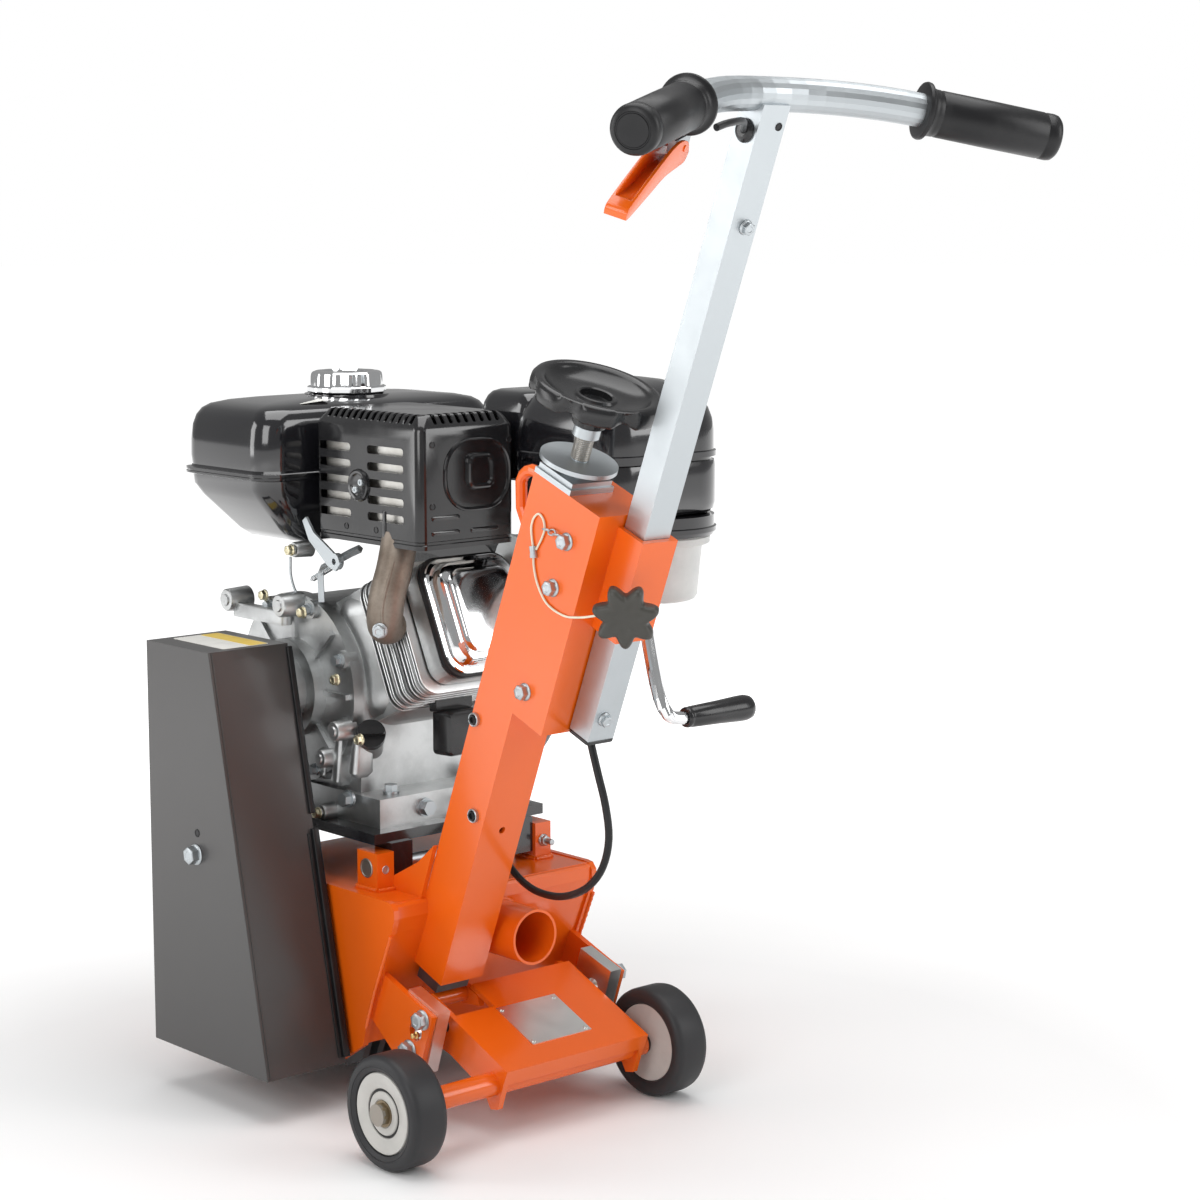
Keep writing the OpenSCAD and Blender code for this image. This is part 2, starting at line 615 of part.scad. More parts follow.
module choke_lever() color("#2a2a2a") {
    translate([132, 91.6, 540]) rotate([90, 0, 0]) {
        cylinder(h = 6, d = 16, $fn = 32);
        box([0, -4, 0], [34, 4, 5]);
    }
}

module starter_grip() color("#1a1a1a") translate([207, crank_y - 60, crank_z + 60]) rotate([45, 0, 0]) {
    translate([0, 0, 66]) linear_extrude(14) polygon(round_rect(16, 46, 7));
    cylinder(h = 66, d = 5, $fn = 24);
}

module crank_pulley() color("#77787a") {
    translate([0, crank_y, crank_z]) pulley(crank_pulley_r, pulley_x, 25);
    rod_x(-158, 30, crank_y, crank_z, 25);
}

// ---------------------------------------------------------------- drum
module drum_shaft() color("#77787a") {
    rod_x(-160, housing_x + inner_w / 2 + 8, drum_y, drum_z, drum_shaft_d);
    translate([0, drum_y, drum_z]) pulley(drum_pulley_r, pulley_x, drum_shaft_d - 1);
}

module drum_cage() color("#5d5e60") difference() {
    for (i = [-1:1]) rod_x(housing_x + i * (drum_w / 2 - 5) - 5, housing_x + i * (drum_w / 2 - 5) + 5,
        drum_y, drum_z, 2 * cutter_r - 34);
    rod_x(left_x, right_x, drum_y, drum_z, drum_shaft_d);
    for (a = [0:60:300]) rod_x(left_x, right_x, drum_y + 58 * cos(a), drum_z + 58 * sin(a), 14);
}

module cutters() color("#6b6a66") for (a = [0:60:300]) {
    y = drum_y + 58 * cos(a);
    z = drum_z + 58 * sin(a);
    rod_x(housing_x - drum_w / 2, housing_x + drum_w / 2, y, z, 14);
    for (half = [0:1], k = [0:4]) {
        x0 = housing_x - drum_w / 2 + 13 + half * (drum_w / 2 - 5) + k * (drum_w / 2 - 16) / 5;
        translate([x0, y, z]) rotate([0, 90, 0]) cylinder(h = 7, r = cutter_r - 58, $fn = 8);
    }
}

module front_axle() color("silver")
    rod_x(housing_x - 98, housing_x + 98, front_wheel_y, front_wheel_z, 12);

module front_wheels() color("#2b2b2d") for (side = [-1, 1]) difference() {
    x0 = housing_x + side * 60 - 12;
    rod_x(x0, x0 + 24, front_wheel_y, front_wheel_z, front_wheel_d);
    rod_x(x0 - 1, x0 + 25, front_wheel_y, front_wheel_z, 12);
}

// ---------------------------------------------------------------- axle arm
module deck_frame() translate([housing_x, -22.8, 68.9]) rotate([deck_slope, 0, 0]) children();

module axle_arm() color("orangered") difference() {
    union() {
        deck_frame() difference() {
            box([-deck_w / 2, 0, -deck_t], [deck_w / 2, 124.4, 0]);
            box([-deck_w / 2 + 6, 88, -10], [-deck_w / 2 + 52, 130, 10]);
        }
        // folded rear lip
        deck_frame() box([-deck_w / 2, 0, -16], [deck_w / 2, 4, 0]);
        // side flanges, whose front ends carry the bar for the spindle foot
        for (x0 = [housing_x - deck_w / 2 + 0.5, housing_x + deck_w / 2 - 6.5]) slab(x0, x0 + 6)
            polygon([[-18, 68.2], [93, 114.6], [104, 115], [112, 106], [106, 96], [84, 72], [60, 66],
                [12, 44], [2, 28], [-8, 30], [-17, 56]]);
        rod_x(-wheel_x + tyre_w / 2 + 2, wheel_x - tyre_w / 2 - 2, 0, wheel_z, axle_tube_d);
        // cross bar that the spindle foot presses on
        rod_x(housing_x - deck_w / 2 + 4, housing_x - deck_w / 2 + 54, 104, 106, 14);
        slab(housing_x - deck_w / 2 + 52, housing_x - deck_w / 2 + 58)
            polygon([[80, 98], [106, 96], [112, 106], [104, 115], [84, 108]]);
    }
    rod_x(-track_outer, track_outer, 0, wheel_z, axle_d);
    rod_x(left_x, right_x, pivot_y, pivot_z, pivot_pin_d + 2 * run_gap);
}

module name_plate() color("gainsboro") deck_frame() {
    box([-36, 26, 0], [36, 84, 0.8]);
    for (x = [-32, 32], y = [30, 80]) translate([x, y, 0.8]) cylinder(h = 1.2, d = 4.5, $fn = 24);
}

module axle_rod() color("#8b7f70") {
    rod_x(-track_outer / 2 - 2, track_outer / 2 + 2, 0, wheel_z, axle_d);
    for (side = [-1, 1]) rod_x(side * (wheel_x + tyre_w / 2 + 0.5) - (side < 0 ? 3 : 0),
        side * (wheel_x + tyre_w / 2 + 0.5) + (side < 0 ? 0 : 3), 0, wheel_z, 20);
}

module rim(side) difference() {
    union() {
        rod_x(side * wheel_x - 17, side * wheel_x + 17, 0, wheel_z, 74);
        rod_x(side * wheel_x - tyre_w / 2, side * wheel_x + tyre_w / 2, 0, wheel_z, 34);
    }
    rod_x(side * wheel_x - 30, side * wheel_x + 30, 0, wheel_z, axle_d + 2 * run_gap);
}

module tyre(side) translate([side * wheel_x, 0, wheel_z]) rotate([0, 90, 0]) rotate_extrude($fn = 96)
    polygon(concat([[37, -tyre_w / 2 + 1], [37, tyre_w / 2 - 1]],
        arc(tyre_d / 2 - 7, tyre_w / 2 - 7, 7, 90, 0, 6), arc(tyre_d / 2 - 7, -tyre_w / 2 + 7, 7, 0, -90, 6)));

module rim_left() color("#c9c8c4") rim(-1);
module rim_right() color("#c9c8c4") rim(1);
module tyre_left() color("#3a3a3c") tyre(-1);
module tyre_right() color("#3a3a3c") tyre(1);

// ---------------------------------------------------------------- depth spindle
module spindle_foot() color("#8c8c8a") on_post() difference() {
    box([spindle_x - 19, -spindle_t - 15, -16], [spindle_x + 19, -spindle_t + 15, 26]);
    translate([spindle_x, -spindle_t, 6]) cylinder(h = 30, d = spindle_d + 2 * run_gap, $fn = round_n);
}

module spindle() color("silver") on_post() translate([spindle_x, -spindle_t, 6.3]) {
    cylinder(h = 549, d = spindle_d, $fn = round_n);
    translate([0, 0, 546]) cylinder(h = 10, d = 24, $fn = round_n);
}

module handwheel() color("#1a1a1c") on_post() translate([spindle_x, -spindle_t, 562.4]) {
    cylinder(h = 30, d1 = 30, d2 = 44, $fn = round_n);
    difference() {
        translate([0, 0, 20]) rotate_extrude($fn = 96) polygon(concat([[0, 4], [30, 6]],
            arc(handwheel_d / 2 - 10, 12, 10, -90, 90, 10), [[44, 20], [26, 13], [20, 9], [0, 9]]));
        for (a = [0:360 / 7:359]) rotate([0, 0, a]) translate([handwheel_d / 2 + 11, 0, 0])
            cylinder(h = 60, d = 34, $fn = round_n);
    }
}

module lock_disc() color("gainsboro") on_post() translate([spindle_x, -spindle_t, 0]) difference() {
    union() {
        translate([0, 0, 526]) cylinder(h = 4, d = 70, $fn = round_n);
        translate([0, 0, 522.4]) cylinder(h = 4, d = 30, $fn = round_n);
    }
    translate([0, 0, 520]) cylinder(h = 20, d = spindle_d + 2 * run_gap, $fn = round_n);
}

// ---------------------------------------------------------------- lift lever
module lift_lever() color("silver") {
    rod_x(-36, 34, lever_pivot.y, lever_pivot.z, lever_d);
    p = lever_pivot;
    route = [[32, p.y, p.z], [42, p.y, p.z - 1], [51, p.y - 2, p.z - 8], [55, p.y - 5, p.z - 24],
        [55, p.y - 12, p.z - 52], [55, p.y - 20, p.z - 82], [56, p.y - 27, p.z - 106],
        [61, p.y - 33, p.z - 121], [69, lever_low.y, lever_low.z + 1], [78.5, lever_low.y, lever_low.z]];
    sweep(smooth(route, 2), lever_d / 2, 16, [0, 1, 0.3]);
    rod_x(lever_low.x - 1, lever_low.x + 78, lever_low.y, lever_low.z, lever_d - 2);
}

module lever_grip() color("#1c1c1e") translate(lever_low) rotate([0, 90, 0]) difference() {
    translate([0, 0, 1.5]) rotate_extrude($fn = round_n) polygon([[0, 0], [8.5, 0], [9, 4], [12, 66],
        [12, 74], [10, 80], [6, 82], [0, 82]]);
    translate([0, 0, -1]) cylinder(h = 79.6, d = lever_d - 2 + 2 * run_gap, $fn = round_n);
}

// ---------------------------------------------------------------- mast and handle
module mast() color("lightsteelblue") {
    on_post() difference() {
        box([-mast_w / 2, -mast_t - mast_d / 2, mast_s], [mast_w / 2, -mast_t + mast_d / 2, mast_s + mast_len]);
        box([-mast_w / 2 + wall, -mast_t - mast_d / 2 + wall, mast_s - 1],
            [mast_w / 2 - wall, -mast_t + mast_d / 2 - wall, mast_s + mast_len - 20]);
    }
    full = concat([for (i = [8:-1:1]) [-bar_half[i].x, bar_half[i].y, bar_half[i].z]], bar_half);
    sweep(full, bar_d / 2, 20, [0, 0, 1]);
    for (side = [-1, 1]) at_grip(side) translate([-1, 0, 0]) rotate([0, 90, 0])
        cylinder(h = grip_len - 8, d = bar_d, $fn = round_n);
}

module bar_grips() color("#1c1c1e") for (side = [-1, 1]) at_grip(side) rotate([0, 90, 0]) difference() {
    rotate_extrude($fn = round_n) polygon([[0, 0], [23, 0], [24, 2], [24, 5], [20.5, 8],
        [grip_d / 2, 12], [grip_d / 2, grip_len - 8], [grip_d / 2 - 4, grip_len - 2], [12, grip_len],
        [0, grip_len]]);
    translate([0, 0, -2]) cylinder(h = grip_len - 7, d = bar_d, $fn = round_n);
}

module opc_clamp() color("gainsboro") {
    at_grip(-1) rotate([opc_roll, 0, 0]) {
        difference() {
            translate([-14, 0, 0]) rotate([0, 90, 0]) cylinder(h = 12, d = bar_d + 6, $fn = round_n);
            translate([-20, 0, 0]) rotate([0, 90, 0]) cylinder(h = 30, d = bar_d + 1, $fn = round_n);
        }
        box([-14, -3, -36], [-2, 3, -bar_d / 2 - 2]);
        difference() {
            box([-3, -3, -36], [20, 3, -25]);
            translate([opc_pivot.x, 10, opc_pivot.z]) rotate([90, 0, 0]) cylinder(h = 20, d = 5.1, $fn = 32);
        }
    }
}

module opc_lever() color("orangered") at_grip(-1) rotate([opc_roll, 0, 0]) {
    difference() {
        rotate([90, 0, 0]) translate([0, 0, -9]) linear_extrude(18) polygon([[0, -36], [8, -25],
            [24, -22.5], [44, -27], [80, -42], [112, -56], [118, -64], [112, -68], [76, -56],
            [48, -46], [22, -44], [6, -42]]);
        box([-6, -3.6, -40], [104, 3.6, -20]);
        rotate([90, 0, 0]) translate([0, 0, -3.6]) linear_extrude(7.2) polygon([[-10, -20], [44, -20],
            [104, -46], [100, -54], [76, -50], [48, -42], [-10, -39]]);
    }
    translate([opc_pivot.x, 9, opc_pivot.z]) rotate([90, 0, 0]) cylinder(h = 18, d = 5, $fn = 32);
}

module stop_cable() color("#1a1a1a") {
    sweep(smooth(stop_route, 3), 3.5, 8, [1, 0, 0]);
}

module mast_cap() color("#1a1a1a") {
    on_post() {
        box([-mast_w / 2 - 1, -mast_t - mast_d / 2 - 1, mast_s - 4], [mast_w / 2 + 1, -mast_t + mast_d / 2 + 1, mast_s]);
        // grommet on the left face, near the handlebar
        translate([-mast_w / 2, -mast_t, mast_s + mast_len - 44]) rotate([0, -90, 0])
            cylinder(h = 5, d1 = 20, d2 = 14, $fn = round_n);
    }
    sweep(smooth(opc_route, 3), 3, 8, [0, 0, 1]);
}

module clamp_knob() color("#35342f") on_post() translate([0, -mast_t, knob_s]) rotate([0, 90, 225]) {
    translate([0, 0, 20.5]) cylinder(h = 30, d = 10, $fn = round_n);
    translate([0, 0, 38]) cylinder(h = 8, d1 = 24, d2 = 34, $fn = round_n);
    difference() {
        translate([0, 0, 46]) cylinder(h = 17, d = 58, $fn = round_n);
        for (i = [0:6]) rotate([0, 0, i * 360 / 7]) translate([33, 0, 40]) cylinder(h = 30, d = 18, $fn = 32);
    }
}

// ---------------------------------------------------------------- draw
housing();
pivot_blocks();
frame_bolts();
vacuum_port();
post();
post_cap_plates();
lifting_loop();
mast_bracket();
hinge_pin();
engine_plate();
skirt();
guard_cover();
guard_back();
drum_bearings();
drive_belts();
lanyard();
crankcase();
side_cover();
cylinder_block();
valve_cover();
exhaust_pipe();
muffler();
muffler_guard();
fuel_tank();
air_cleaner();
cleaner_bowl();
carburettor();
fan_housing();
engine_bolts();
fuel_cap();
dipstick();
throttle_lever();
choke_lever();
starter_grip();
crank_pulley();
drum_shaft();
drum_cage();
cutters();
front_axle();
front_wheels();
axle_arm();
name_plate();
axle_rod();
rim_left();
tyre_left();
rim_right();
tyre_right();
spindle_foot();
spindle();
handwheel();
lock_disc();
lift_lever();
lever_grip();
mast();
bar_grips();
opc_clamp();
opc_lever();
stop_cable();
mast_cap();
clamp_knob();
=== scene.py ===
# %% [markdown]
# # A walk-behind concrete floor planer
# The CAD model already holds every size, place and joint of this machine. This lesson gives it
# its looks: paint, plating, castings and rubber, and the small shapes a CAD model leaves out.
# Everything is in metres, in the machine's own frame: +X right, +Y forward, +Z up.

# %% Load the frame
import json
import math

import bmesh
import bpy
from mathutils import Matrix, Vector


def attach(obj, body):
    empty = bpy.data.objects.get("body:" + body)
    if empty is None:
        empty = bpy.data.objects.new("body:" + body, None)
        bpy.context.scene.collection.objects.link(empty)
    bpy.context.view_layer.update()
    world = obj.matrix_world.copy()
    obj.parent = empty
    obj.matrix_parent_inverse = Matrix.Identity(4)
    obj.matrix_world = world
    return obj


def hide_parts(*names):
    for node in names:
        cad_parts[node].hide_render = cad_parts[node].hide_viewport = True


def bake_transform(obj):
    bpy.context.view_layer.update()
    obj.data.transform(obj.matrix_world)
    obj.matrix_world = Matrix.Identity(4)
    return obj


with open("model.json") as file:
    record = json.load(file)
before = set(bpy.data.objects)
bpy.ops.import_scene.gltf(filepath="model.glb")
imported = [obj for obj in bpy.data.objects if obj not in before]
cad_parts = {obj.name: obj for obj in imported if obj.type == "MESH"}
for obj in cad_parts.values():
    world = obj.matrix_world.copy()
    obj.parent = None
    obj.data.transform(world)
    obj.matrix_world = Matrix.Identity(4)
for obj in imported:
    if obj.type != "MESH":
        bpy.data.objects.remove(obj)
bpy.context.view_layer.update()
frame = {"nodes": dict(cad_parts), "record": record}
nodes = frame["nodes"]

# %% [markdown]
# A few places of the CAD model are needed again and again, so they get names here. Lengths are
# written in millimetres and multiplied by `mm` where Blender needs metres.

# %% Places in millimetres
mm = 0.001
wheel_radius, half_track = 52.5, 158
crank_y, crank_z = 290, 384
hinge_y, hinge_z = 158, 229.5
housing_x, sleeve_left, mast_back = 38, -45.5, 106.8
print("wheel diameter:", wheel_radius * 2, "track:", half_track * 2)

# %% [markdown]
# The camera comes first, so that every later choice can be judged in the final view. A long
# lens from about three metres away keeps the verticals almost straight, as in a studio shot.

# %% Camera
camera_data = bpy.data.cameras.new("studio_camera")
camera = bpy.data.objects.new("studio_camera", camera_data)
bpy.context.scene.collection.objects.link(camera)
bpy.context.scene.camera = camera
camera.location = (-1.6194, -1.9117, 0.8620)
aim = Vector((0.1900, 0.1189, 0.4637))
camera.rotation_euler = (aim - camera.location).to_track_quat("-Z", "Y").to_euler()
camera_data.lens = 84.1
camera_data.sensor_width = 36.0
camera_data.clip_end = 100.0
print("camera distance m:", round((aim - camera.location).length, 2))

# %% [markdown]
# The stage is a pale floor under soft light. Large area lights act as soft boxes. The backdrop
# is white to the eye but dim to the surfaces, so black paint stays deep between highlights.

# %% Stage and lights
bpy.ops.object.select_all(action="DESELECT")
bpy.ops.mesh.primitive_circle_add(vertices=96, radius=30, fill_type="NGON", location=(0, 0, 0))
floor = bpy.context.object
floor.name = "floor"

world = bpy.data.worlds.new("studio")
bpy.context.scene.world = world
world.use_nodes = True
backdrop = world.node_tree.nodes["Background"]
backdrop.inputs["Color"].default_value = (1.0, 1.0, 1.0, 1.0)
seen = world.node_tree.nodes.new("ShaderNodeLightPath")
bright = world.node_tree.nodes.new("ShaderNodeMapRange")
bright.inputs["To Min"].default_value = 0.32
bright.inputs["To Max"].default_value = 1.0
world.node_tree.links.new(seen.outputs["Is Camera Ray"], bright.inputs["Value"])
world.node_tree.links.new(bright.outputs["Result"], backdrop.inputs["Strength"])
bpy.context.scene.view_settings.view_transform = "Standard"


def soft_box(name, place, target, size, power):
    light = bpy.data.lights.new(name, "AREA")
    light.shape = "RECTANGLE"
    light.size, light.size_y = size
    light.energy = power
    lamp = bpy.data.objects.new(name, light)
    bpy.context.scene.collection.objects.link(lamp)
    lamp.location = place
    lamp.rotation_euler = (Vector(target) - Vector(place)).to_track_quat("-Z", "Y").to_euler()
    return lamp


soft_box("top_light", (0.2, 0.0, 3.0), (0.1, 0.1, 0.3), (2.6, 2.6), 62)
soft_box("key_light", (-2.4, -1.0, 1.7), (0, 0.1, 0.4), (1.3, 1.7), 26)
soft_box("side_light", (-2.2, 1.8, 1.2), (0, 0.1, 0.3), (1.0, 1.8), 20)
soft_box("fill_light", (1.6, -2.2, 1.5), (0, 0.1, 0.4), (1.2, 1.6), 22)
print("lights:", len(bpy.data.lights))

# %% [markdown]
# Shader maths reads best as sums. This small class wraps a socket, and each Python operator on
# it adds one Math node, so `0.3 + dust * 0.12` builds the two nodes it names.


# %% Sums on sockets
class Signal:
    def __init__(self, finish, socket):
        self.finish = finish
        self.socket = socket

    def maths(self, operation, *terms):
        return self.finish.node("ShaderNodeMath", {"operation": operation}, dict(enumerate(terms)))

    def __add__(self, other):
        return self.maths("ADD", self, other)

    def __mul__(self, other):
        return self.maths("MULTIPLY", self, other)

    __radd__ = __add__
    __rmul__ = __mul__


# %% [markdown]
# A finish is one material. It starts from the Principled shader, and a few methods add what
# real surfaces need: noise at a size in millimetres, colour ramps, mixes and bumps.


# %% Finishes
class Finish:
    made = {}

    def __init__(self, name, colour, roughness, metallic=0.0, **fixed):
        self.material = bpy.data.materials.new(name)
        self.material.use_nodes = True
        self.tree = self.material.node_tree
        self.shader = self.tree.nodes["Principled BSDF"]
        self.shader.inputs["Base Color"].default_value = (*colour, 1.0)
        self.shader.inputs["Roughness"].default_value = roughness
        self.shader.inputs["Metallic"].default_value = metallic
        for socket, value in fixed.items():
            self.shader.inputs[socket.replace("_", " ")].default_value = value
        Finish.made[name] = self

    def node(self, kind, settings, inputs, output=0):
        node = self.tree.nodes.new(kind)
        for key, value in settings.items():
            if key == "stops":
                while len(node.color_ramp.elements) < len(value):
                    node.color_ramp.elements.new(0.5)
                for element, (position, shade) in zip(node.color_ramp.elements, value):
                    element.position = position
                    element.color = (shade,) * 3 + (1.0,) if isinstance(shade, (int, float)) else (*shade, 1.0)
            else:
                setattr(node, key, value)
        for key, value in inputs.items():
            if isinstance(value, Signal):
                self.tree.links.new(value.socket, node.inputs[key])
            else:
                node.inputs[key].default_value = value
        return Signal(self, node.outputs[output])

    def place(self):
        return self.node("ShaderNodeTexCoord", {}, {}, "Object")

    def noise(self, size_mm, detail=3.0, rough=0.5):
        return self.node("ShaderNodeTexNoise", {}, {"Vector": self.place(), "Scale": 1000.0 / size_mm,
                                                    "Detail": detail, "Roughness": rough})

    def ramp(self, signal, *stops):
        return self.node("ShaderNodeValToRGB", {"stops": stops}, {"Fac": signal})

    def mix(self, amount, first, second):
        colours = [(*c, 1.0) if isinstance(c, tuple) else c for c in (first, second)]
        return self.node("ShaderNodeMix", {"data_type": "RGBA"}, {0: amount, 6: colours[0], 7: colours[1]}, 2)

    def bump(self, height, strength, depth_mm):
        return self.node("ShaderNodeBump", {}, {"Height": height, "Strength": strength,
            "Distance": depth_mm * mm})

    def feed(self, **signals):
        for socket, signal in signals.items():
            self.tree.links.new(signal.socket, self.shader.inputs[socket.replace("_", " ")])
        return self


# %% [markdown]
# Powder coat is baked plastic powder. Close up it has a faint orange-peel ripple, and its
# colour drifts a little where the coat is thinner, so both come from noise at two sizes.


# %% Paint
def paint(name, colour, roughness, coat=0.3, peel=0.12):
    finish = Finish(name, colour, roughness, Coat_Weight=coat, Coat_Roughness=0.12)
    drift = finish.noise(90, 2)
    darker = tuple(c * 0.92 for c in colour)
    finish.feed(Base_Color=finish.mix(drift, darker, colour),
                Roughness=roughness - 0.03 + finish.noise(30, 3) * 0.06,
                Normal=finish.bump(finish.noise(2.2, 2), peel, 0.12))
    return finish


paint("orange_paint", (0.87, 0.132, 0.005), 0.24)
paint("guard_paint", (0.050, 0.047, 0.046), 0.33, 0.2)
paint("black_paint", (0.012, 0.012, 0.014), 0.2, 0.8, 0.06)
paint("gloss_shell", (0.008, 0.008, 0.010), 0.1, 1.0, 0.03)
print("paints:", list(Finish.made))

# %% [markdown]
# Bright zinc is a thin plate over rolled steel. It is pale and slightly blue, with cloudy
# patches, a faint ripple and a roughness that changes from patch to patch.


# %% Plated steel
def plated(name, colour, roughness, cloud=0.12):
    finish = Finish(name, colour, roughness, 1.0)
    patch = finish.noise(26, 5, 0.6)
    ripple = finish.noise(3, 4, 0.6)
    tinted = tuple(c * (1 - cloud) for c in colour)
    finish.feed(Base_Color=finish.mix(patch, tinted, colour), Roughness=roughness - 0.08 + patch * 0.2,
                Normal=finish.bump(ripple, 0.08, 0.05))
    return finish


plated("zinc", (0.53, 0.565, 0.585), 0.4)
plated("bright_plate", (0.82, 0.82, 0.80), 0.3)
plated("steel", (0.40, 0.37, 0.33), 0.42)
plated("axle_end", (0.30, 0.24, 0.16), 0.45)
plated("brass", (0.80, 0.58, 0.24), 0.3)
plated("gold_zinc", (0.72, 0.66, 0.46), 0.3)
plated("chrome", (0.88, 0.89, 0.90), 0.07, cloud=0.02)
print("paints and platings:", len(Finish.made))

# %% [markdown]
# Die-cast alloy keeps the grain of its mould: tiny pits, slightly darker hollows and a dull
# shine. Grey iron is darker and coarser. The silencer metal is stained brown by heat.


# %% Castings
def casting(name, colour, dark, roughness, metallic, grain_mm):
    finish = Finish(name, colour, roughness, metallic)
    grain = finish.noise(grain_mm, 4, 0.7)
    stain = finish.ramp(finish.noise(40, 5, 0.6), (0.38, 0.0), (0.72, 1.0))
    finish.feed(Base_Color=finish.mix(stain, colour, dark), Roughness=roughness - 0.1 + grain * 0.25,
                Normal=finish.bump(grain, 0.35, 0.25))
    return finish


casting("cast_alloy", (0.60, 0.61, 0.61), (0.42, 0.43, 0.43), 0.38, 1.0, 1.6)
casting("iron", (0.16, 0.16, 0.165), (0.10, 0.10, 0.10), 0.55, 0.8, 2.0)
casting("exhaust_steel", (0.30, 0.26, 0.22), (0.17, 0.13, 0.10), 0.5, 0.9, 2.5)
casting("cast_bright", (0.72, 0.73, 0.73), (0.58, 0.59, 0.59), 0.34, 1.0, 1.2)
casting("silencer", (0.66, 0.65, 0.62), (0.44, 0.42, 0.38), 0.36, 1.0, 3.0)
print("metals so far:", len(Finish.made))

# %% [markdown]
# Plastics and rubbers are told apart by their shine and their grain: moulded plastic has a
# fine even texture, rubber is duller and a little dusty, and the wheel tread is pale grey.


# %% Plastics and rubbers
def moulded(name, colour, roughness, grain_mm=0.9, depth=0.05, **fixed):
    finish = Finish(name, colour, roughness, **fixed)
    grain = finish.noise(grain_mm, 2)
    dust = finish.ramp(finish.noise(30, 5, 0.6), (0.45, 0.0), (0.85, 1.0))
    dusty = tuple(c * 0.8 + 0.012 for c in colour)
    finish.feed(Base_Color=finish.mix(dust, colour, dusty), Roughness=roughness - 0.04 + dust * 0.12,
                Normal=finish.bump(grain, 0.3, depth))
    return finish


moulded("black_plastic", (0.014, 0.014, 0.015), 0.24)
moulded("knob_plastic", (0.045, 0.043, 0.036), 0.45, 0.7, 0.08)
moulded("guard_black", (0.010, 0.010, 0.011), 0.18, 1.5, 0.04, Coat_Weight=0.5, Coat_Roughness=0.1)
moulded("label_cream", (0.86, 0.85, 0.80), 0.35)
moulded("label_yellow", (0.90, 0.62, 0.06), 0.35)
moulded("rubber", (0.009, 0.009, 0.010), 0.4, 0.8, 0.06, Specular_IOR_Level=0.35)
moulded("tyre_rubber", (0.028, 0.028, 0.030), 0.5, 1.2, 0.08, Specular_IOR_Level=0.35)
moulded("rim_steel", (0.55, 0.54, 0.51), 0.4, 1.5, 0.05)
moulded("cord", (0.80, 0.74, 0.58), 0.5, 0.6, 0.1)
moulded("bowl_plastic", (0.86, 0.86, 0.84), 0.35, 2.0, 0.03, Transmission_Weight=0.35)

# %% [markdown]
# Every CAD node names a material slot in its record. The finishes above carry the same names,
# so one loop dresses the whole frame before any extra piece is made.

# %% Dress the frame
slot_of = {part["node"]: part["material_slot"] for part in frame["record"]["subparts"]}
for name, node in nodes.items():
    for slot in node.material_slots:
        slot.material = Finish.made[slot_of[name]].material
for name, look in (("muffler", "silencer"), ("name_plate", "bright_plate"), ("pivot_blocks", "bright_plate")):
    for slot in nodes[name].material_slots:
        slot.material = Finish.made[look].material
# Painted light: the floor glows, from none within 0.6 m of the machine to full beyond 2 m, so the far floor
# reads as white as the backdrop.
stage_finish = Finish("stage_floor", (0.93, 0.93, 0.93), 0.6, Emission_Strength=0.75)
away = stage_finish.node("ShaderNodeVectorMath", {"operation": "LENGTH"}, {0: stage_finish.place()}, 1)
stage_finish.feed(Emission_Color=stage_finish.node("ShaderNodeMapRange", {},
    {"Value": away, "From Min": 0.6, "From Max": 2.0}))
floor.data.materials.append(stage_finish.material)
print("finishes:", len(Finish.made))

# %% [markdown]
# Extra pieces are modelled as by hand: a primitive is added, shaped in edit mode, finished with
# modifiers and moved to its place. These few helpers keep each piece down to its own numbers,
# which are all in millimetres.


# %% Starting and editing a piece
def only(*pieces):
    bpy.ops.object.select_all(action="DESELECT")
    for piece in pieces:
        piece.select_set(True)
    if pieces:
        bpy.context.view_layer.objects.active = pieces[0]


def begin(name, add, **settings):
    only()
    add(**settings)
    piece = bpy.context.object
    piece.name = piece.data.name = name
    return piece


def block(name, low, high):
    low, high = Vector(low) * mm, Vector(high) * mm
    return begin(name, bpy.ops.mesh.primitive_cube_add, size=1, location=(low + high) / 2, scale=high - low)


class Editing:
    def __init__(self, piece, kind="FACE"):
        self.piece, self.kind = piece, kind

    def __enter__(self):
        only(self.piece)
        bpy.ops.object.mode_set(mode="EDIT")
        bpy.ops.mesh.select_mode(type=self.kind)
        bpy.ops.mesh.select_all(action="SELECT")
        return self

    def __exit__(self, *problem):
        bpy.ops.object.mode_set(mode="OBJECT")

    def pick(self, test):
        bpy.ops.mesh.select_all(action="DESELECT")
        mesh = bmesh.from_edit_mesh(self.piece.data)
        for face in mesh.faces:
            face.select_set(test(face.calc_center_median() / mm, face.normal))
        bmesh.update_edit_mesh(self.piece.data)

    def draw(self, offset):
        bpy.ops.mesh.extrude_region_move(TRANSFORM_OT_translate={"value": Vector(offset) * mm})

    def close(self):
        bpy.ops.mesh.select_all(action="SELECT")
        bpy.ops.mesh.remove_doubles(threshold=0.00001)
        bpy.ops.mesh.normals_make_consistent(inside=False)


# %% [markdown]
# Three ways of making cover nearly everything here. A turned piece is a profile spun about an
# axis, a stacked piece is an outline drawn up through levels, and a tube follows a path.


# %% Turned, stacked and tube pieces
def turned(name, profile, steps=64):
    piece = begin(name, bpy.ops.mesh.primitive_plane_add, size=0.001)
    with Editing(piece, "VERT") as edit:
        bpy.ops.mesh.merge(type="CENTER")
        here = Vector((0, 0, 0))
        for count, (radius, height) in enumerate(profile):
            there = Vector((radius, 0, height))
            if count:
                edit.draw(there - here)
            else:
                bpy.ops.transform.translate(value=(there - here) * mm)
            here = there
        bpy.ops.mesh.select_all(action="SELECT")
        bpy.ops.mesh.spin(steps=steps, angle=math.tau, center=(0, 0, 0), axis=(0, 0, 1))
        edit.close()
    return piece


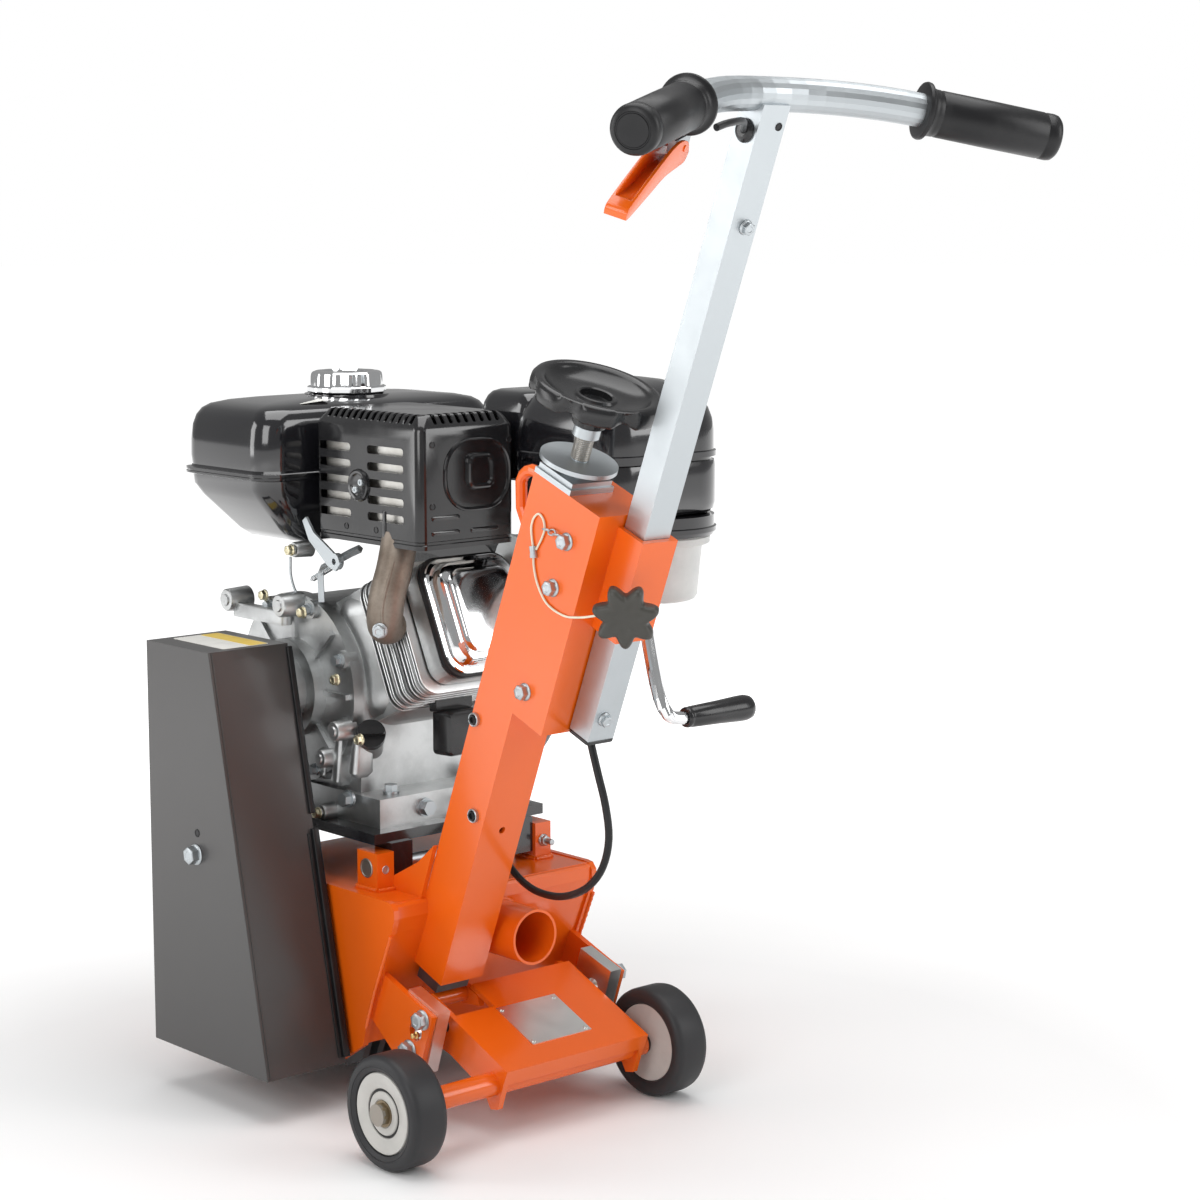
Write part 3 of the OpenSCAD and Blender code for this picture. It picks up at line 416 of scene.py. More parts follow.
def stacked(name, outline, levels):
    piece = begin(name, bpy.ops.mesh.primitive_circle_add, vertices=len(outline), radius=0.001,
        fill_type="NGON")
    for vertex, (x, y) in zip(piece.data.vertices, outline):
        vertex.co = Vector((x, y, levels[0][0])) * mm
    wide, deep, shift = 1.0, 1.0, Vector((0, 0, 0))
    with Editing(piece) as edit:
        height = levels[0][0]
        for count, level in enumerate(levels):
            z, to_wide, to_deep = level[:3]
            to_shift = Vector((*level[3:5], 0)) if len(level) > 3 else Vector((0, 0, 0))
            if count:
                edit.draw(Vector((0, 0, z - height)) + to_shift - shift)
            else:
                bpy.ops.transform.translate(value=to_shift * mm)
            bpy.ops.transform.resize(value=(to_wide / wide, to_deep / deep, 1),
                                     center_override=(Vector((0, 0, z)) + to_shift) * mm)
            wide, deep, shift, height = to_wide, to_deep, to_shift, z
        edit.close()
    return piece


def tube(name, points, radius, sides=6, swell=None):
    curve = bpy.data.curves.new(name, "CURVE")
    curve.dimensions = "3D"
    spline = curve.splines.new("POLY")
    spline.points.add(len(points) - 1)
    for count, (point, place) in enumerate(zip(spline.points, points)):
        point.co = (*(Vector(place) * mm), 1)
        point.radius = swell(count) if swell else 1.0
    curve.bevel_depth = radius * mm
    curve.bevel_resolution = sides
    curve.use_fill_caps = True
    piece = bpy.data.objects.new(name, curve)
    bpy.context.scene.collection.objects.link(piece)
    only(piece)
    bpy.ops.object.convert(target="MESH")
    return bpy.context.object


def smooth_path(points, count=8):
    """Points on a smooth curve through the given ones."""
    points = [Vector(p) for p in points]
    ends = [2 * points[0] - points[1], *points, 2 * points[-1] - points[-2]]
    path = []
    for a, b, c, d in zip(ends, ends[1:], ends[2:], ends[3:]):
        for step in range(count):
            t = step / count
            path.append(0.5 * (2 * b + (c - a) * t + (2 * a - 5 * b + 4 * c - d) * t * t
                               + (3 * b - a - 3 * c + d) * t * t * t))
    return path + [points[-1]]


def rounded(wide, deep, corner, steps=8):
    outline = []
    for turn, (sx, sy) in enumerate(((1, 1), (-1, 1), (-1, -1), (1, -1))):
        for step in range(steps + 1):
            angle = (turn + step / steps) * math.pi / 2
            outline.append((sx * (wide / 2 - corner) + corner * math.cos(angle),
                            sy * (deep / 2 - corner) + corner * math.sin(angle)))
    return outline


def lobed(radius, depth, lobes, steps=14):
    count = lobes * steps
    return [((radius + depth * math.cos(lobes * a)) * math.cos(a),
             (radius + depth * math.cos(lobes * a)) * math.sin(a))
            for a in (i * math.tau / count for i in range(count))]


# %% [markdown]
# A piece is made upright at the origin and then turned so that its own Z points where it should.
# Placing it moves its mesh, so the object itself stays at the origin, as the export needs.


# %% Placing, copying and finishing
def aimed(place, direction, spin=0.0):
    turn = Vector(direction).normalized().to_track_quat("Z", "Y").to_matrix().to_4x4()
    return Matrix.Translation(Vector(place) * mm) @ turn @ Matrix.Rotation(math.radians(spin), 4, "Z")


def settle(piece, matrix=None):
    only(piece)
    bpy.ops.object.transform_apply(location=True, rotation=True, scale=True)
    if matrix is not None:
        piece.data.transform(matrix)
    return piece


def join(name, *pieces):
    only(*pieces)
    bpy.ops.object.join()
    piece = bpy.context.object
    piece.name = piece.data.name = name
    return piece


def repeat(name, model, matrices):
    settle(model)
    made = []
    for matrix in matrices:
        twin = model.copy()
        twin.data = model.data.copy()
        twin.data.transform(matrix)
        bpy.context.scene.collection.objects.link(twin)
        made.append(twin)
    bpy.data.objects.remove(model)
    return join(name, *made)


def modify(piece, kind, **settings):
    only(piece)
    modifier = piece.modifiers.new(kind.lower(), kind)
    for key, value in settings.items():
        setattr(modifier, key, value)
    bpy.ops.object.modifier_apply(modifier=modifier.name)
    return piece


def finish(piece, look, body="chassis", bevel=0.0, angle=35, stands_for=()):
    settle(piece)
    if bevel:
        modify(piece, "BEVEL", width=bevel * mm, segments=3, limit_method="ANGLE", angle_limit=math.radians(40))
    only(piece)
    bpy.ops.object.shade_smooth_by_angle(angle=math.radians(angle))
    piece.data.materials.clear()
    piece.data.materials.append(Finish.made[look].material)
    if body:
        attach(piece, body)
    if stands_for:
        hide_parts(*stands_for)
    print(piece.name, "faces:", len(piece.data.polygons), "finish:", look)
    return piece


def post_point(x, t, s):
    """A place on the leaning post: x sideways, t back from its front face, s up along it."""
    lean = math.radians(21.2)
    return Vector((x, 124.3 - math.cos(lean) * t - math.sin(lean) * s,
        145.8 - math.sin(lean) * t + math.cos(lean) * s))


up_post = post_point(0, 0, 1) - post_point(0, 0, 0)
back_post = post_point(0, 1, 0) - post_point(0, 0, 0)

# %% [markdown]
# Wheels. Solid rubber is moulded round a pressed rim: the tread is flat and the shoulders are
# round. The rim steps inwards to a bearing with a black seal and a pale inner race.

# %% Rear wheels
for side, tyre_body in ((-1, "wheel_left"), (1, "wheel_right")):
    hand = "left" if side < 0 else "right"
    at_wheel = aimed((side * half_track, 0, wheel_radius), (side, 0, 0))
    tyre = turned("tyre_" + hand + "_rubber", [
        (37.2, -14), (38.5, -17), (42, -18.6), (46.5, -19), (49.6, -17.8), (51.7, -15.2), (52.5, -11.5),
        (52.5, 0), (52.5, 11.5), (51.7, 15.2), (49.6, 17.8), (46.5, 19), (43.4, 18.9), (43.0, 18.3),
        (42.4, 18.3), (42, 18.6), (38.5, 17), (37.2, 14), (37.2, -14)], 96)
    finish(settle(tyre, at_wheel), "tyre_rubber", tyre_body, stands_for=("tyre_" + hand,))
    rim = turned("rim_" + hand + "_dish", [
        (9.2, -17), (30, -15), (37.1, -15), (37.1, 15.6), (36.4, 16.6), (35.2, 16.8), (23.6, 15.2),
        (22.6, 14.6), (22.2, 12.4), (20.2, 12.2), (19.8, 14.6), (18.8, 15.4), (13.2, 15.4),
        (12.6, 14.6), (9.2, 14.4), (9.2, -17)], 96)
    finish(settle(rim, at_wheel), "rim_steel", tyre_body, stands_for=("rim_" + hand,))
    seal = turned("rim_" + hand + "_seal", [(19.9, 11), (22.1, 11), (22.1, 13.8), (19.9, 13.8), (19.9, 11)], 96)
    finish(settle(seal, at_wheel), "rubber", tyre_body)
    nut = turned("axle_washer_" + hand, [(0, 13), (12.0, 13), (12.2, 15.8), (0, 15.8)], 48)
    head = begin("axle_nut_" + hand, bpy.ops.mesh.primitive_cylinder_add, vertices=8, radius=0.0105,
        depth=0.007, location=(0, 0, 0.0177))
    with Editing(head) as edit:
        edit.pick(lambda centre, facing: facing.z > 0.9)
        bpy.ops.mesh.inset(thickness=0.0016, depth=0.0011)
        bpy.ops.mesh.inset(thickness=0.0028, depth=0.0)
        bpy.ops.mesh.inset(thickness=0.0006, depth=-0.0012)
    finish(settle(join("axle_nut_" + hand, nut, head), at_wheel), "axle_end", "arm", 0.25)

# %% [markdown]
# Handwheel. It is one plastic moulding: a hub, a dished web and a thick rim whose underside is
# notched for the fingers. Spinning gives the section, and moving the outer points makes notches.

# %% Depth handwheel
at_spindle = aimed(post_point(-20.5, 25, 562.4), up_post)
wheel = turned("handwheel_moulding", [
    (0, 0), (14, 0), (15.2, 1.2), (15.6, 6), (18.5, 7), (19.5, 9), (19.5, 17), (22, 20), (30, 22),
    (42, 23), (51, 20.5), (56.5, 20.5), (58.6, 23), (59, 29), (58.6, 33.5), (56.5, 36.6), (53, 37.6),
    (48.5, 36.8), (46.6, 34.6), (44, 32), (36, 28.5), (26, 26.6), (19.5, 26.6), (18, 28.6), (15.8, 29),
    (14.4, 28), (13.8, 22.5), (11, 21.5), (0, 21.5)], 112)
for vertex in wheel.data.vertices:
    x, y, z = vertex.co / mm
    reach = math.hypot(x, y)
    notch = max(0.0, math.cos(7 * math.atan2(y, x))) ** 1.5
    if reach > 44 and z < 34.5:
        vertex.co.x *= 1 - 0.085 * notch * (reach - 40) / 19
        vertex.co.y *= 1 - 0.085 * notch * (reach - 40) / 19
    if reach > 50 and z < 24:
        vertex.co.z += 4.5 * notch * mm
    if 15.5 < reach < 23 and 5 < z < 19:
        vertex.co.x *= 1 - 0.07 * notch
        vertex.co.y *= 1 - 0.07 * notch
finish(settle(wheel, at_spindle), "black_plastic", "spindle", angle=40, stands_for=("handwheel",))
ridges = [(7.9, 530.8)]
for turn in range(12):
    ridges += [(8.45, 531.4 + turn * 1.7), (8.45, 531.7 + turn * 1.7), (7.9, 532.3 + turn * 1.7)]
ridges = [(6, 530.8), *ridges, (6, 551.6), (6, 530.8)]
thread = turned("spindle_thread", ridges, 48)
finish(settle(thread, aimed(post_point(-20.5, 25, 0), up_post)), "steel", "spindle", angle=60)

# %% [markdown]
# Clamp knob. Seven round lobes fill the hand. The outline is a circle that swells seven times,
# and it is drawn up through levels that round both rims and sink a shallow centre.

# %% Mast clamp knob
knob_way = Vector((-0.70710678, -0.65925248, -0.25570719))
at_knob = aimed(post_point(0, mast_back, 440), knob_way, 12)
knob = stacked("clamp_knob_moulding", lobed(24.4, 4.6, 7), [
    (44, 0.34, 0.34), (46, 0.36, 0.36), (46.6, 0.84, 0.84), (48.2, 0.95, 0.95), (50.6, 1, 1),
    (57, 1, 1), (59.6, 0.97, 0.97), (61.6, 0.9, 0.9), (62.6, 0.8, 0.8), (62.9, 0.66, 0.66),
    (62.3, 0.5, 0.5), (61.6, 0.36, 0.36), (61.9, 0.16, 0.16)])
stem = turned("clamp_knob_stem", [(0, 20.5), (5, 20.5), (5, 38), (11.6, 38), (12.4, 38.8), (16.6, 45.4),
    (16.6, 46.4), (0, 46.4)], 48)
finish(settle(join("clamp_knob_moulding", knob, stem), at_knob), "knob_plastic", "knob", angle=50,
       stands_for=("clamp_knob",))

# %% [markdown]
# Hand grips. Soft rubber sleeves with a collar at the inner end and a domed outer end. They sit
# on the bar like a thick stocking, so each is a long turned piece along the bar's end.

# %% Rubber grips
for side, name in ((-1, "left"), (1, "right")):
    yaw = math.radians(-26.7 if side > 0 else 206.7)
    end = Matrix.Translation(Vector((side * 130.2, -342.6, 926.4)) * mm) @ Matrix.Rotation(yaw, 4, "Z") \
        @ Matrix.Rotation(math.radians(10.5), 4, "Y") @ Matrix.Rotation(math.pi / 2, 4, "Y")
    grip = turned("grip_" + name, [
        (0, 0.2), (21.6, 0.2), (23.4, 1), (24, 2.6), (23.6, 4.6), (21.6, 6.2), (20, 8), (19.4, 11),
        (19.3, 14), (18.8, 14.6), (18.8, 16.2), (19.3, 16.8), (19.5, 60), (19.3, 108), (18.7, 108.8),
        (18.7, 110.6), (19.3, 111.4), (19.4, 117), (18.8, 120), (16.8, 122.2), (14.2, 122.9),
        (13.6, 122.3), (12.8, 122.3), (12.2, 123), (0, 123.3)], 72)
    finish(settle(grip, end), "rubber", "mast", angle=40, stands_for=("bar_grips",) if side < 0 else ())
handle = turned("lift_lever_handle", [
    (0, 0), (8, 0), (9, 1), (9.4, 3), (8.9, 4.2), (8.9, 6), (9.6, 7.5), (10.6, 40), (11.8, 66),
    (11.9, 74), (10.8, 79), (7.5, 81.6), (3, 82), (2.6, 81), (0, 81)], 56)
finish(settle(handle, aimed((79.5, -119, 394), (1, 0, 0))), "black_plastic", "lever_grip", angle=40,
       stands_for=("lever_grip",))

# %% [markdown]
# Silencer guard. This black pressed cover is the busiest face of the engine. A rounded outline
# is drawn up to a bevelled roof, the floor is opened and the sheet gets its thickness. The slots
# are then cut with one boolean, because they pass right through the sheet.


# %% Silencer guard
def cut(piece, *cutters):
    tool = join("cutter", *[settle(cutter) for cutter in cutters])
    modify(piece, "BOOLEAN", operation="DIFFERENCE", object=tool, solver="EXACT")
    bpy.data.objects.remove(tool)
    return piece


def slot_tool(low, high, radius):
    tool = settle(block("slot", low, high))
    return modify(tool, "BEVEL", width=radius * mm, segments=3, limit_method="NONE")


guard_x, guard_y = 7, 177.5
guard = stacked("silencer_guard", rounded(114, 161, 9), [
    (534, 1, 1), (538, 1, 1), (539, 0.985, 0.99), (541, 0.985, 0.99), (542, 1, 1), (642, 1, 1),
    (646, 0.985, 0.99), (655.5, 0.87, 0.905), (657.4, 0.83, 0.88), (658, 0.76, 0.82)])
settle(guard, Matrix.Translation(Vector((guard_x, guard_y, 0)) * mm))
with Editing(guard) as edit:
    edit.pick(lambda centre, facing: centre.z < 534.5)
    bpy.ops.mesh.delete(type="FACE")
modify(guard, "SOLIDIFY", thickness=1.6 * mm, offset=-1)
side_slots = [slot_tool((-60, low, 556.5 + row * 15.6), (-44, high, 564.3 + row * 15.6), 3.2)
              for row in range(5) for low, high in ((121, 176), (202, 252))]
roof_slots = [slot_tool((-56, 112 + count * 9.6, 649.2), (-36, 117 + count * 9.6, 661), 1.5)
              for count in range(14)]
rear_slots = [slot_tool((-30 + count * 9.2, 92, 649.2), (-25 + count * 9.2, 112, 661), 1.5)
              for count in range(9)]
cut(guard, *side_slots, *roof_slots, *rear_slots)
window = stacked("window", rounded(74, 62, 27), [(0, 1, 1), (20, 1, 1)])
cut(guard, settle(window, aimed((18, 110, 601), (0, -1, 0))))
finish(guard, "guard_black", angle=30, stands_for=("muffler_guard",))

# %% [markdown]
# The guard's rear face holds a sunk oval dish round the outlet, and its left face a round boss
# with two screws. Each is its own small pressing, set into the sheet.

# %% Silencer guard dish, boss and screws
dish = stacked("silencer_guard_dish", rounded(80, 68, 30), [
    (-0.5, 1, 1), (1.6, 0.985, 0.985), (2.2, 0.955, 0.95), (1.6, 0.915, 0.90), (-3, 0.88, 0.87),
    (-6, 0.86, 0.85), (-6.6, 0.8, 0.78), (-6.6, 0.5, 0.5)])
outlet = stacked("outlet", rounded(34, 34, 9), [(-6, 1, 1), (0, 1, 1), (3.4, 0.93, 0.93), (4.6, 0.84, 0.84),
    (4.6, 0.74, 0.74), (1.5, 0.68, 0.68)])
settle(outlet, Matrix.Translation(Vector((3, 3, 0)) * mm))
finish(settle(join("silencer_guard_dish", dish, outlet), aimed((18, 97, 601), (0, -1, 0))),
    "guard_black", angle=30)
boss = turned("silencer_guard_boss", [(0, 0.6), (9, 0.6), (10.5, 1.2), (11.5, 2.6), (13.6, 3), (15, 2.2),
    (15.6, 0), (15.6, -1)], 48)
finish(settle(boss, aimed((-50, 188.5, 588), (-1, 0, 0))), "guard_black", angle=40)
small_screw = turned("screw", [(0, -1), (3.6, -1), (3.6, 1.2), (3.1, 2), (1.2, 2), (1.1, 1.2), (0, 1.2)], 24)
screws = repeat("silencer_guard_screws", small_screw, [
    aimed((-50.4, 184.5, 591), (-1, 0, 0)), aimed((-50.4, 193, 583.5), (-1, 0, 0))])
finish(screws, "zinc", angle=40)
# Painted shade: each hole is a closed black disc with a shallow dish, standing in for the shaded inside of a
# hole in the guard.
hole = turned("hole", [(0, -0.4), (3.2, -0.4), (3.2, 0.5), (2.7, 0.7), (2.5, 0.2), (0, 0.2)], 24)
holes = repeat("silencer_guard_holes", hole, [
    aimed((-50, 209, 548), (-1, 0, 0)), aimed((-50, 163, 548), (-1, 0, 0)), aimed((-35, 97, 631), (0, -1, 0)),
    aimed((56, 97, 631), (0, -1, 0)), aimed((-35, 97, 574), (0, -1, 0))])
finish(holes, "black_plastic", angle=40)
rib = stacked("rib", rounded(34, 5, 2.4), [(-0.5, 1, 1), (0.8, 0.97, 0.85), (1.3, 0.9, 0.5)])
ribs = repeat("silencer_guard_ribs", rib, [aimed((-20, 97, 563), (0, -1, 0)), aimed((-20, 97, 549), (0, -1, 0)),
                                           aimed((26, 97, 549), (0, -1, 0)),
                                           aimed((-50, 150, 551), (-1, 0, 0), 90)])
finish(ribs, "guard_black", angle=40)

# %% [markdown]
# Bolts. A flanged hexagon head is a short turned flange under a six-sided cylinder. Three
# insets make its chamfer and the shallow dish on top, and copies of it go to every place.


# %% Hexagon bolts on the frame
def hex_bolt(name, across, height):
    flange = turned(name + "_flange", [(0, 0), (across * 0.66, 0), (across * 0.68, 0.6), (across * 0.62, 1.5),
                                       (across * 0.5, 2.1), (0, 2.1)], 32)
    head = begin(name, bpy.ops.mesh.primitive_cylinder_add, vertices=6, radius=across * 0.577 * mm,
                 depth=height * mm, location=(0, 0, height / 2 * mm))
    with Editing(head) as edit:
        edit.pick(lambda centre, facing: facing.z > 0.9)
        bpy.ops.mesh.inset(thickness=across * 0.07 * mm, depth=across * 0.045 * mm)
        bpy.ops.mesh.inset(thickness=across * 0.16 * mm, depth=0)
        bpy.ops.mesh.inset(thickness=across * 0.05 * mm, depth=-across * 0.04 * mm)
    return join(name, flange, head)


left, rear = (-1, 0, 0), (0, -1, 0)
pivot_bolts = repeat("pivot_bolts", hex_bolt("bolt", 14.5, 8), [
    aimed((side * 119 + housing_x, y, z), (side, 0, 0), 12) for side in (-1, 1) for y,
    z in ((60, 106), (80, 73))])
finish(pivot_bolts, "zinc", bevel=0.3, stands_for=("frame_bolts",))
post_bolts = repeat("post_bolts", hex_bolt("bolt", 12, 7.5), [
    aimed(post_point(sleeve_left, t, s), left, 20) for s, t in ((469.6, 61), (423.7, 59), (319.5, 58.5))])
finish(post_bolts, "zinc", bevel=0.3)
finish(settle(hex_bolt("guard_bolt", 15, 9), aimed((-185.4, 270.5, 241), left, 8)), "zinc", bevel=0.3)
lug_bolt = join("lug_bolt", turned("shank", [(0, 0), (3, 0), (3, 14), (0, 14)], 24), hex_bolt("bolt", 9, 5))
finish(settle(lug_bolt, aimed((135.3, 142, 227.5), rear)), "zinc", bevel=0.2)
pins = turned("pin_end", [(0, 0), (9.2, 0), (9.4, 0.8), (8.8, 1.4), (7.9, 1.4), (7.6, 0.7), (0, 0.7)], 40)
pins = repeat("hinge_pin_ends", pins, [aimed((-69.1, hinge_y, hinge_z), left),
    aimed((145.1, hinge_y, hinge_z), (1, 0, 0))])
finish(pins, "steel")
screw_hole = turned("screw_hole", [(0, 0.1), (2.6, 0.1), (2.8, 0.4), (3.8, 0.5), (4.1, 0), (0, -0.5)], 24)
finish(settle(screw_hole, aimed((-59.3, 142, 229), rear)), "zinc")

# %% [markdown]
# Threaded inserts. On the post, two black socket screws sit in bright rings. Each is a ring with
# a dark six-sided socket inside it.

# %% Socket screws and the small pipe hole
ring = turned("ring", [(5.2, -1), (6.4, -1), (6.5, 3), (5.9, 3.6), (5.2, 3.4), (5.2, -1)], 40)
plug = turned("plug", [(0, 2.2), (2.9, 2.2), (3.1, 4.4), (4.6, 4.6), (5.1, 4.0), (5.1, -1), (0, -1)], 6)
rings = repeat("insert_rings", ring, [aimed(post_point(sleeve_left, t, s), left) for s,
    t in ((262, 6), (178, 36))])
finish(rings, "zinc")
plugs = repeat("insert_screws", plug, [aimed(post_point(sleeve_left, t, s), left) for s,
    t in ((262, 6), (178, 36))])
finish(plugs, "black_plastic", angle=20)
nipple = turned("grease_nipple", [(0, 0), (3.2, 0), (3.4, 2), (2.1, 2.6), (2.1, 4.4), (2.7, 5), (2.4, 6.4),
    (1, 7), (0, 7)], 24)
finish(repeat("grease_nipples", nipple, [aimed((-81, 68, 90), left), aimed((157, 68, 90), (1, 0, 0))]), "brass")

# %% [markdown]
# Belt guard. Its sheet is folded and seam-welded, so a double line runs along the outer rear
# edge. A rubber strip in two lengths seals its inner rear edge, with a step between them.

# %% Guard seam, rubber strip, label and hole
slope_way = Vector((0, 244.4 - 160.1, 436.6 - 44.5)).normalized()
slope_out = Vector((0, -slope_way.z, slope_way.y))
slope_start = Vector((0, 160.1, 44.5))


def slope_bar(name, x0, x1, start, end, proud, bevel):
    bar = block(name, (x0, -proud, start), (x1, 0.8, end))
    turn = Matrix((Vector((1, 0, 0)), -slope_out, slope_way)).transposed().to_4x4()
    settle(bar, Matrix.Translation(slope_start * mm) @ turn)
    return modify(bar, "BEVEL", width=bevel * mm, segments=3, limit_method="ANGLE")


seam = join("guard_seam", slope_bar("outer", -185.4, -183.4, 0, 401, 0.9, 0.4),
            slope_bar("inner", -181.8, -180.6, 1, 400, 0.6, 0.28))
finish(seam, "guard_paint")
strip = join("guard_rubber_strip", slope_bar("lower", -99, -91.6, 6, 224, 4.6, 1.2),
             slope_bar("lower_lip", -103, -98.4, 6, 220, 1.6, 0.7),
             slope_bar("upper", -98, -92, 238, 398, 3.4, 1.2))
finish(strip, "rubber")
label = stacked("guard_label", rounded(52, 86, 3), [(0, 1, 1), (0.3, 1, 1)])
finish(settle(label, Matrix.Translation(Vector((-136, 296, 436.6)) * mm)), "label_cream")
band = stacked("guard_label_band", rounded(20, 84, 2), [(0, 1, 1), (0.45, 1, 1)])
finish(settle(band, Matrix.Translation(Vector((-121, 296, 436.6)) * mm)), "label_yellow")
# Painted shade: the guard's small hole is a closed dark rubber disc, standing in for the shaded inside of the
# hole.
finish(settle(turned("guard_hole", [(0, 0.2), (2.7, 0.2), (3.1, 0.6), (3.8, 0.5), (4, 0), (0, -0.4)], 32),
              aimed((-185.4, 268, 262), left)), "rubber")

# %% [markdown]
# Weld beads. A bead is a thin tube along the joint. Its radius swells and shrinks at a regular
# pitch, as the pool does each time the welder's hand moves on.


# %% Weld beads on the housing and the arm
def bead(name, points, radius=2.4, body="chassis"):
    path = smooth_path(points, 14)
    finish(tube(name, path, radius, 4, lambda count: 1 + 0.13 * math.sin(count * 1.9)), "orange_paint",
        body, angle=60)


for side, name in ((-1, "left"), (1, "right")):
    x0, x1 = sorted((housing_x + side * 87.5, housing_x + side * 107.1))
    bead("weld_lug_" + name, [(x0, 141.5, 210), (x1, 141.5, 210), (x1 + 0.5, 158, 210), (x1, 173.5, 210),
        (x0, 173.5, 210), (x0 - 0.5, 158, 210), (x0, 141.5, 210)])
    wall = housing_x + side * 125
    bead("weld_ear_" + name, [(wall, 99, 178), (wall, 110, 153), (wall, 122.4, 125), (wall, 131, 103),
        (wall, 138.7, 82)], 2.0)
bead("weld_port", [(housing_x + 27 * math.cos(a), 122.4 - (27 * math.sin(a) + 42) * 0.436,
    167 + 27 * math.sin(a)) for a in (i * math.tau / 20 for i in range(21))], 2.0)

# %% [markdown]
# Fuel tank. Two deep-drawn shells meet at a flange. Both are one rounded outline drawn through
# levels: a tapered lower shell, the double line of the seam, then a bulged upper shell.

# %% Fuel tank and its filler cap
tank = stacked("fuel_tank_shells", rounded(298, 149, 26, 10), [
    (524, 0.66, 0.58, 14, -4), (526, 0.71, 0.64, 13, -4), (533, 0.76, 0.70, 11, -3),
    (556, 0.87, 0.83, 5, -2), (567, 0.925, 0.90, 3, -1), (578, 0.955, 0.93), (587, 0.962, 0.94),
    (588.6, 0.985, 0.97), (589.0, 1, 1), (590.6, 1, 1), (591.0, 0.988, 0.978), (592.2, 0.988, 0.978),
    (592.6, 1, 1), (594.2, 1, 1), (594.8, 0.975, 0.955), (597, 0.966, 0.94), (606, 0.972, 0.952),
    (622, 0.970, 0.950), (636, 0.958, 0.935), (645, 0.938, 0.905), (651.5, 0.905, 0.86),
    (655.5, 0.86, 0.79), (658.6, 0.76, 0.66), (660.6, 0.60, 0.48), (661.6, 0.42, 0.34)])
settle(tank, Matrix.Translation(Vector((43, 338.1, 0)) * mm))
finish(tank, "gloss_shell", angle=28, stands_for=("fuel_tank",))
neck = turned("filler_neck", [(0, 658), (43, 658), (42, 662), (36, 663.2), (34, 663.4), (0, 663.4)], 64)
finish(settle(neck, Matrix.Translation(Vector((48, 338.1, 0)) * mm)), "gloss_shell")
cap = stacked("fuel_cap_shell", lobed(35.6, 0.75, 12, 12), [
    (663.6, 1.07, 1.07), (664.4, 1.085, 1.085), (668.4, 1.085, 1.085), (669.4, 1.06, 1.06),
    (670.2, 1.0, 1.0), (679, 0.985, 0.985), (682, 0.965, 0.965), (683.6, 0.92, 0.92),
    (684.3, 0.85, 0.85), (684.4, 0.74, 0.74), (683.4, 0.70, 0.70), (683.4, 0.24, 0.24),
    (684, 0.2, 0.2)])
finish(settle(cap, Matrix.Translation(Vector((48, 338.1, 0)) * mm)), "chrome", "fuel_cap", angle=24,
    stands_for=("fuel_cap",))
tank_label = stacked("tank_label", rounded(34, 60, 2), [(0, 1, 1), (0.3, 1, 1)])
finish(settle(tank_label, Matrix.Translation(Vector((-28, 316, 659.4)) * mm)
              @ Matrix.Rotation(math.radians(-4), 4, "Y")), "label_cream")

# %% [markdown]
# Cylinder. Cooling fins are thin plates round the barrel, set close together. The chrome valve
# cover is pressed in steps and sits on a thick black gasket.

# %% Fins, gasket and valve cover
bore_start = Matrix.Translation(Vector((30, crank_y, crank_z)) * mm)
at_cylinder = bore_start @ Matrix.Rotation(math.radians(65), 4, "X")
fins = []
for count in range(13):
    size = 0.5 if count % 2 else 1.2
    fin = stacked("fin", rounded(130 + size * 2, 127 + size * 2, 17), [
        (112.6 + count * 4.6, 0.97, 0.97), (112.8 + count * 4.6, 0.995, 0.995),
        (113.2 + count * 4.6, 1, 1), (114.2 + count * 4.6, 1, 1), (114.6 + count * 4.6, 0.995, 0.995),
        (114.8 + count * 4.6, 0.97, 0.97)])
    fins.append(fin)
finish(settle(join("cylinder_fins", *fins), at_cylinder), "cast_bright", angle=30)
gasket = stacked("valve_gasket", rounded(110, 117, 22), [(190, 1, 1), (191, 1.01, 1.01), (196.4, 1.01, 1.01),
    (197, 0.99, 0.99)])
finish(settle(gasket, at_cylinder), "rubber")
cover = stacked("valve_cover_pressing", rounded(106, 113, 22, 10), [
    (196, 1, 1), (199.4, 1, 1), (200.4, 0.985, 0.985), (200.8, 0.93, 0.93), (202, 0.90, 0.90),
    (208, 0.88, 0.885), (211, 0.85, 0.86), (212.4, 0.80, 0.81), (212.6, 0.72, 0.74),
    (213.4, 0.69, 0.71), (215, 0.66, 0.68), (215.8, 0.60, 0.63), (216, 0.50, 0.52)])
finish(settle(cover, at_cylinder), "chrome", angle=24, stands_for=("valve_cover",))
pipe = tube("exhaust_elbow", smooth_path([(-44, 151, 459), (-52, 147, 460), (-57, 142, 470), (-55, 140, 490),
    (-46, 142, 511), (-38, 146, 529), (-34, 147, 544)], 10), 17, 10)
seam_rib = tube("elbow_rib", smooth_path([
    (-68, 131, 466), (-69, 130, 480), (-64, 129, 500), (-53, 132, 522)], 6), 1.8, 3)
finish(join("exhaust_elbow", pipe, seam_rib), "exhaust_steel", angle=50, stands_for=("exhaust_pipe",))
finish(settle(hex_bolt("elbow_bolt", 11, 6), aimed((-70, 132.5, 459), (-0.78, -0.6, -0.1))), "zinc", bevel=0.25)

# %% [markdown]
# Engine castings. The crankcase carries bosses, ribs and small brackets that no plain block has.
# They are turned or stacked pieces set into the casting and cast in the same alloy.

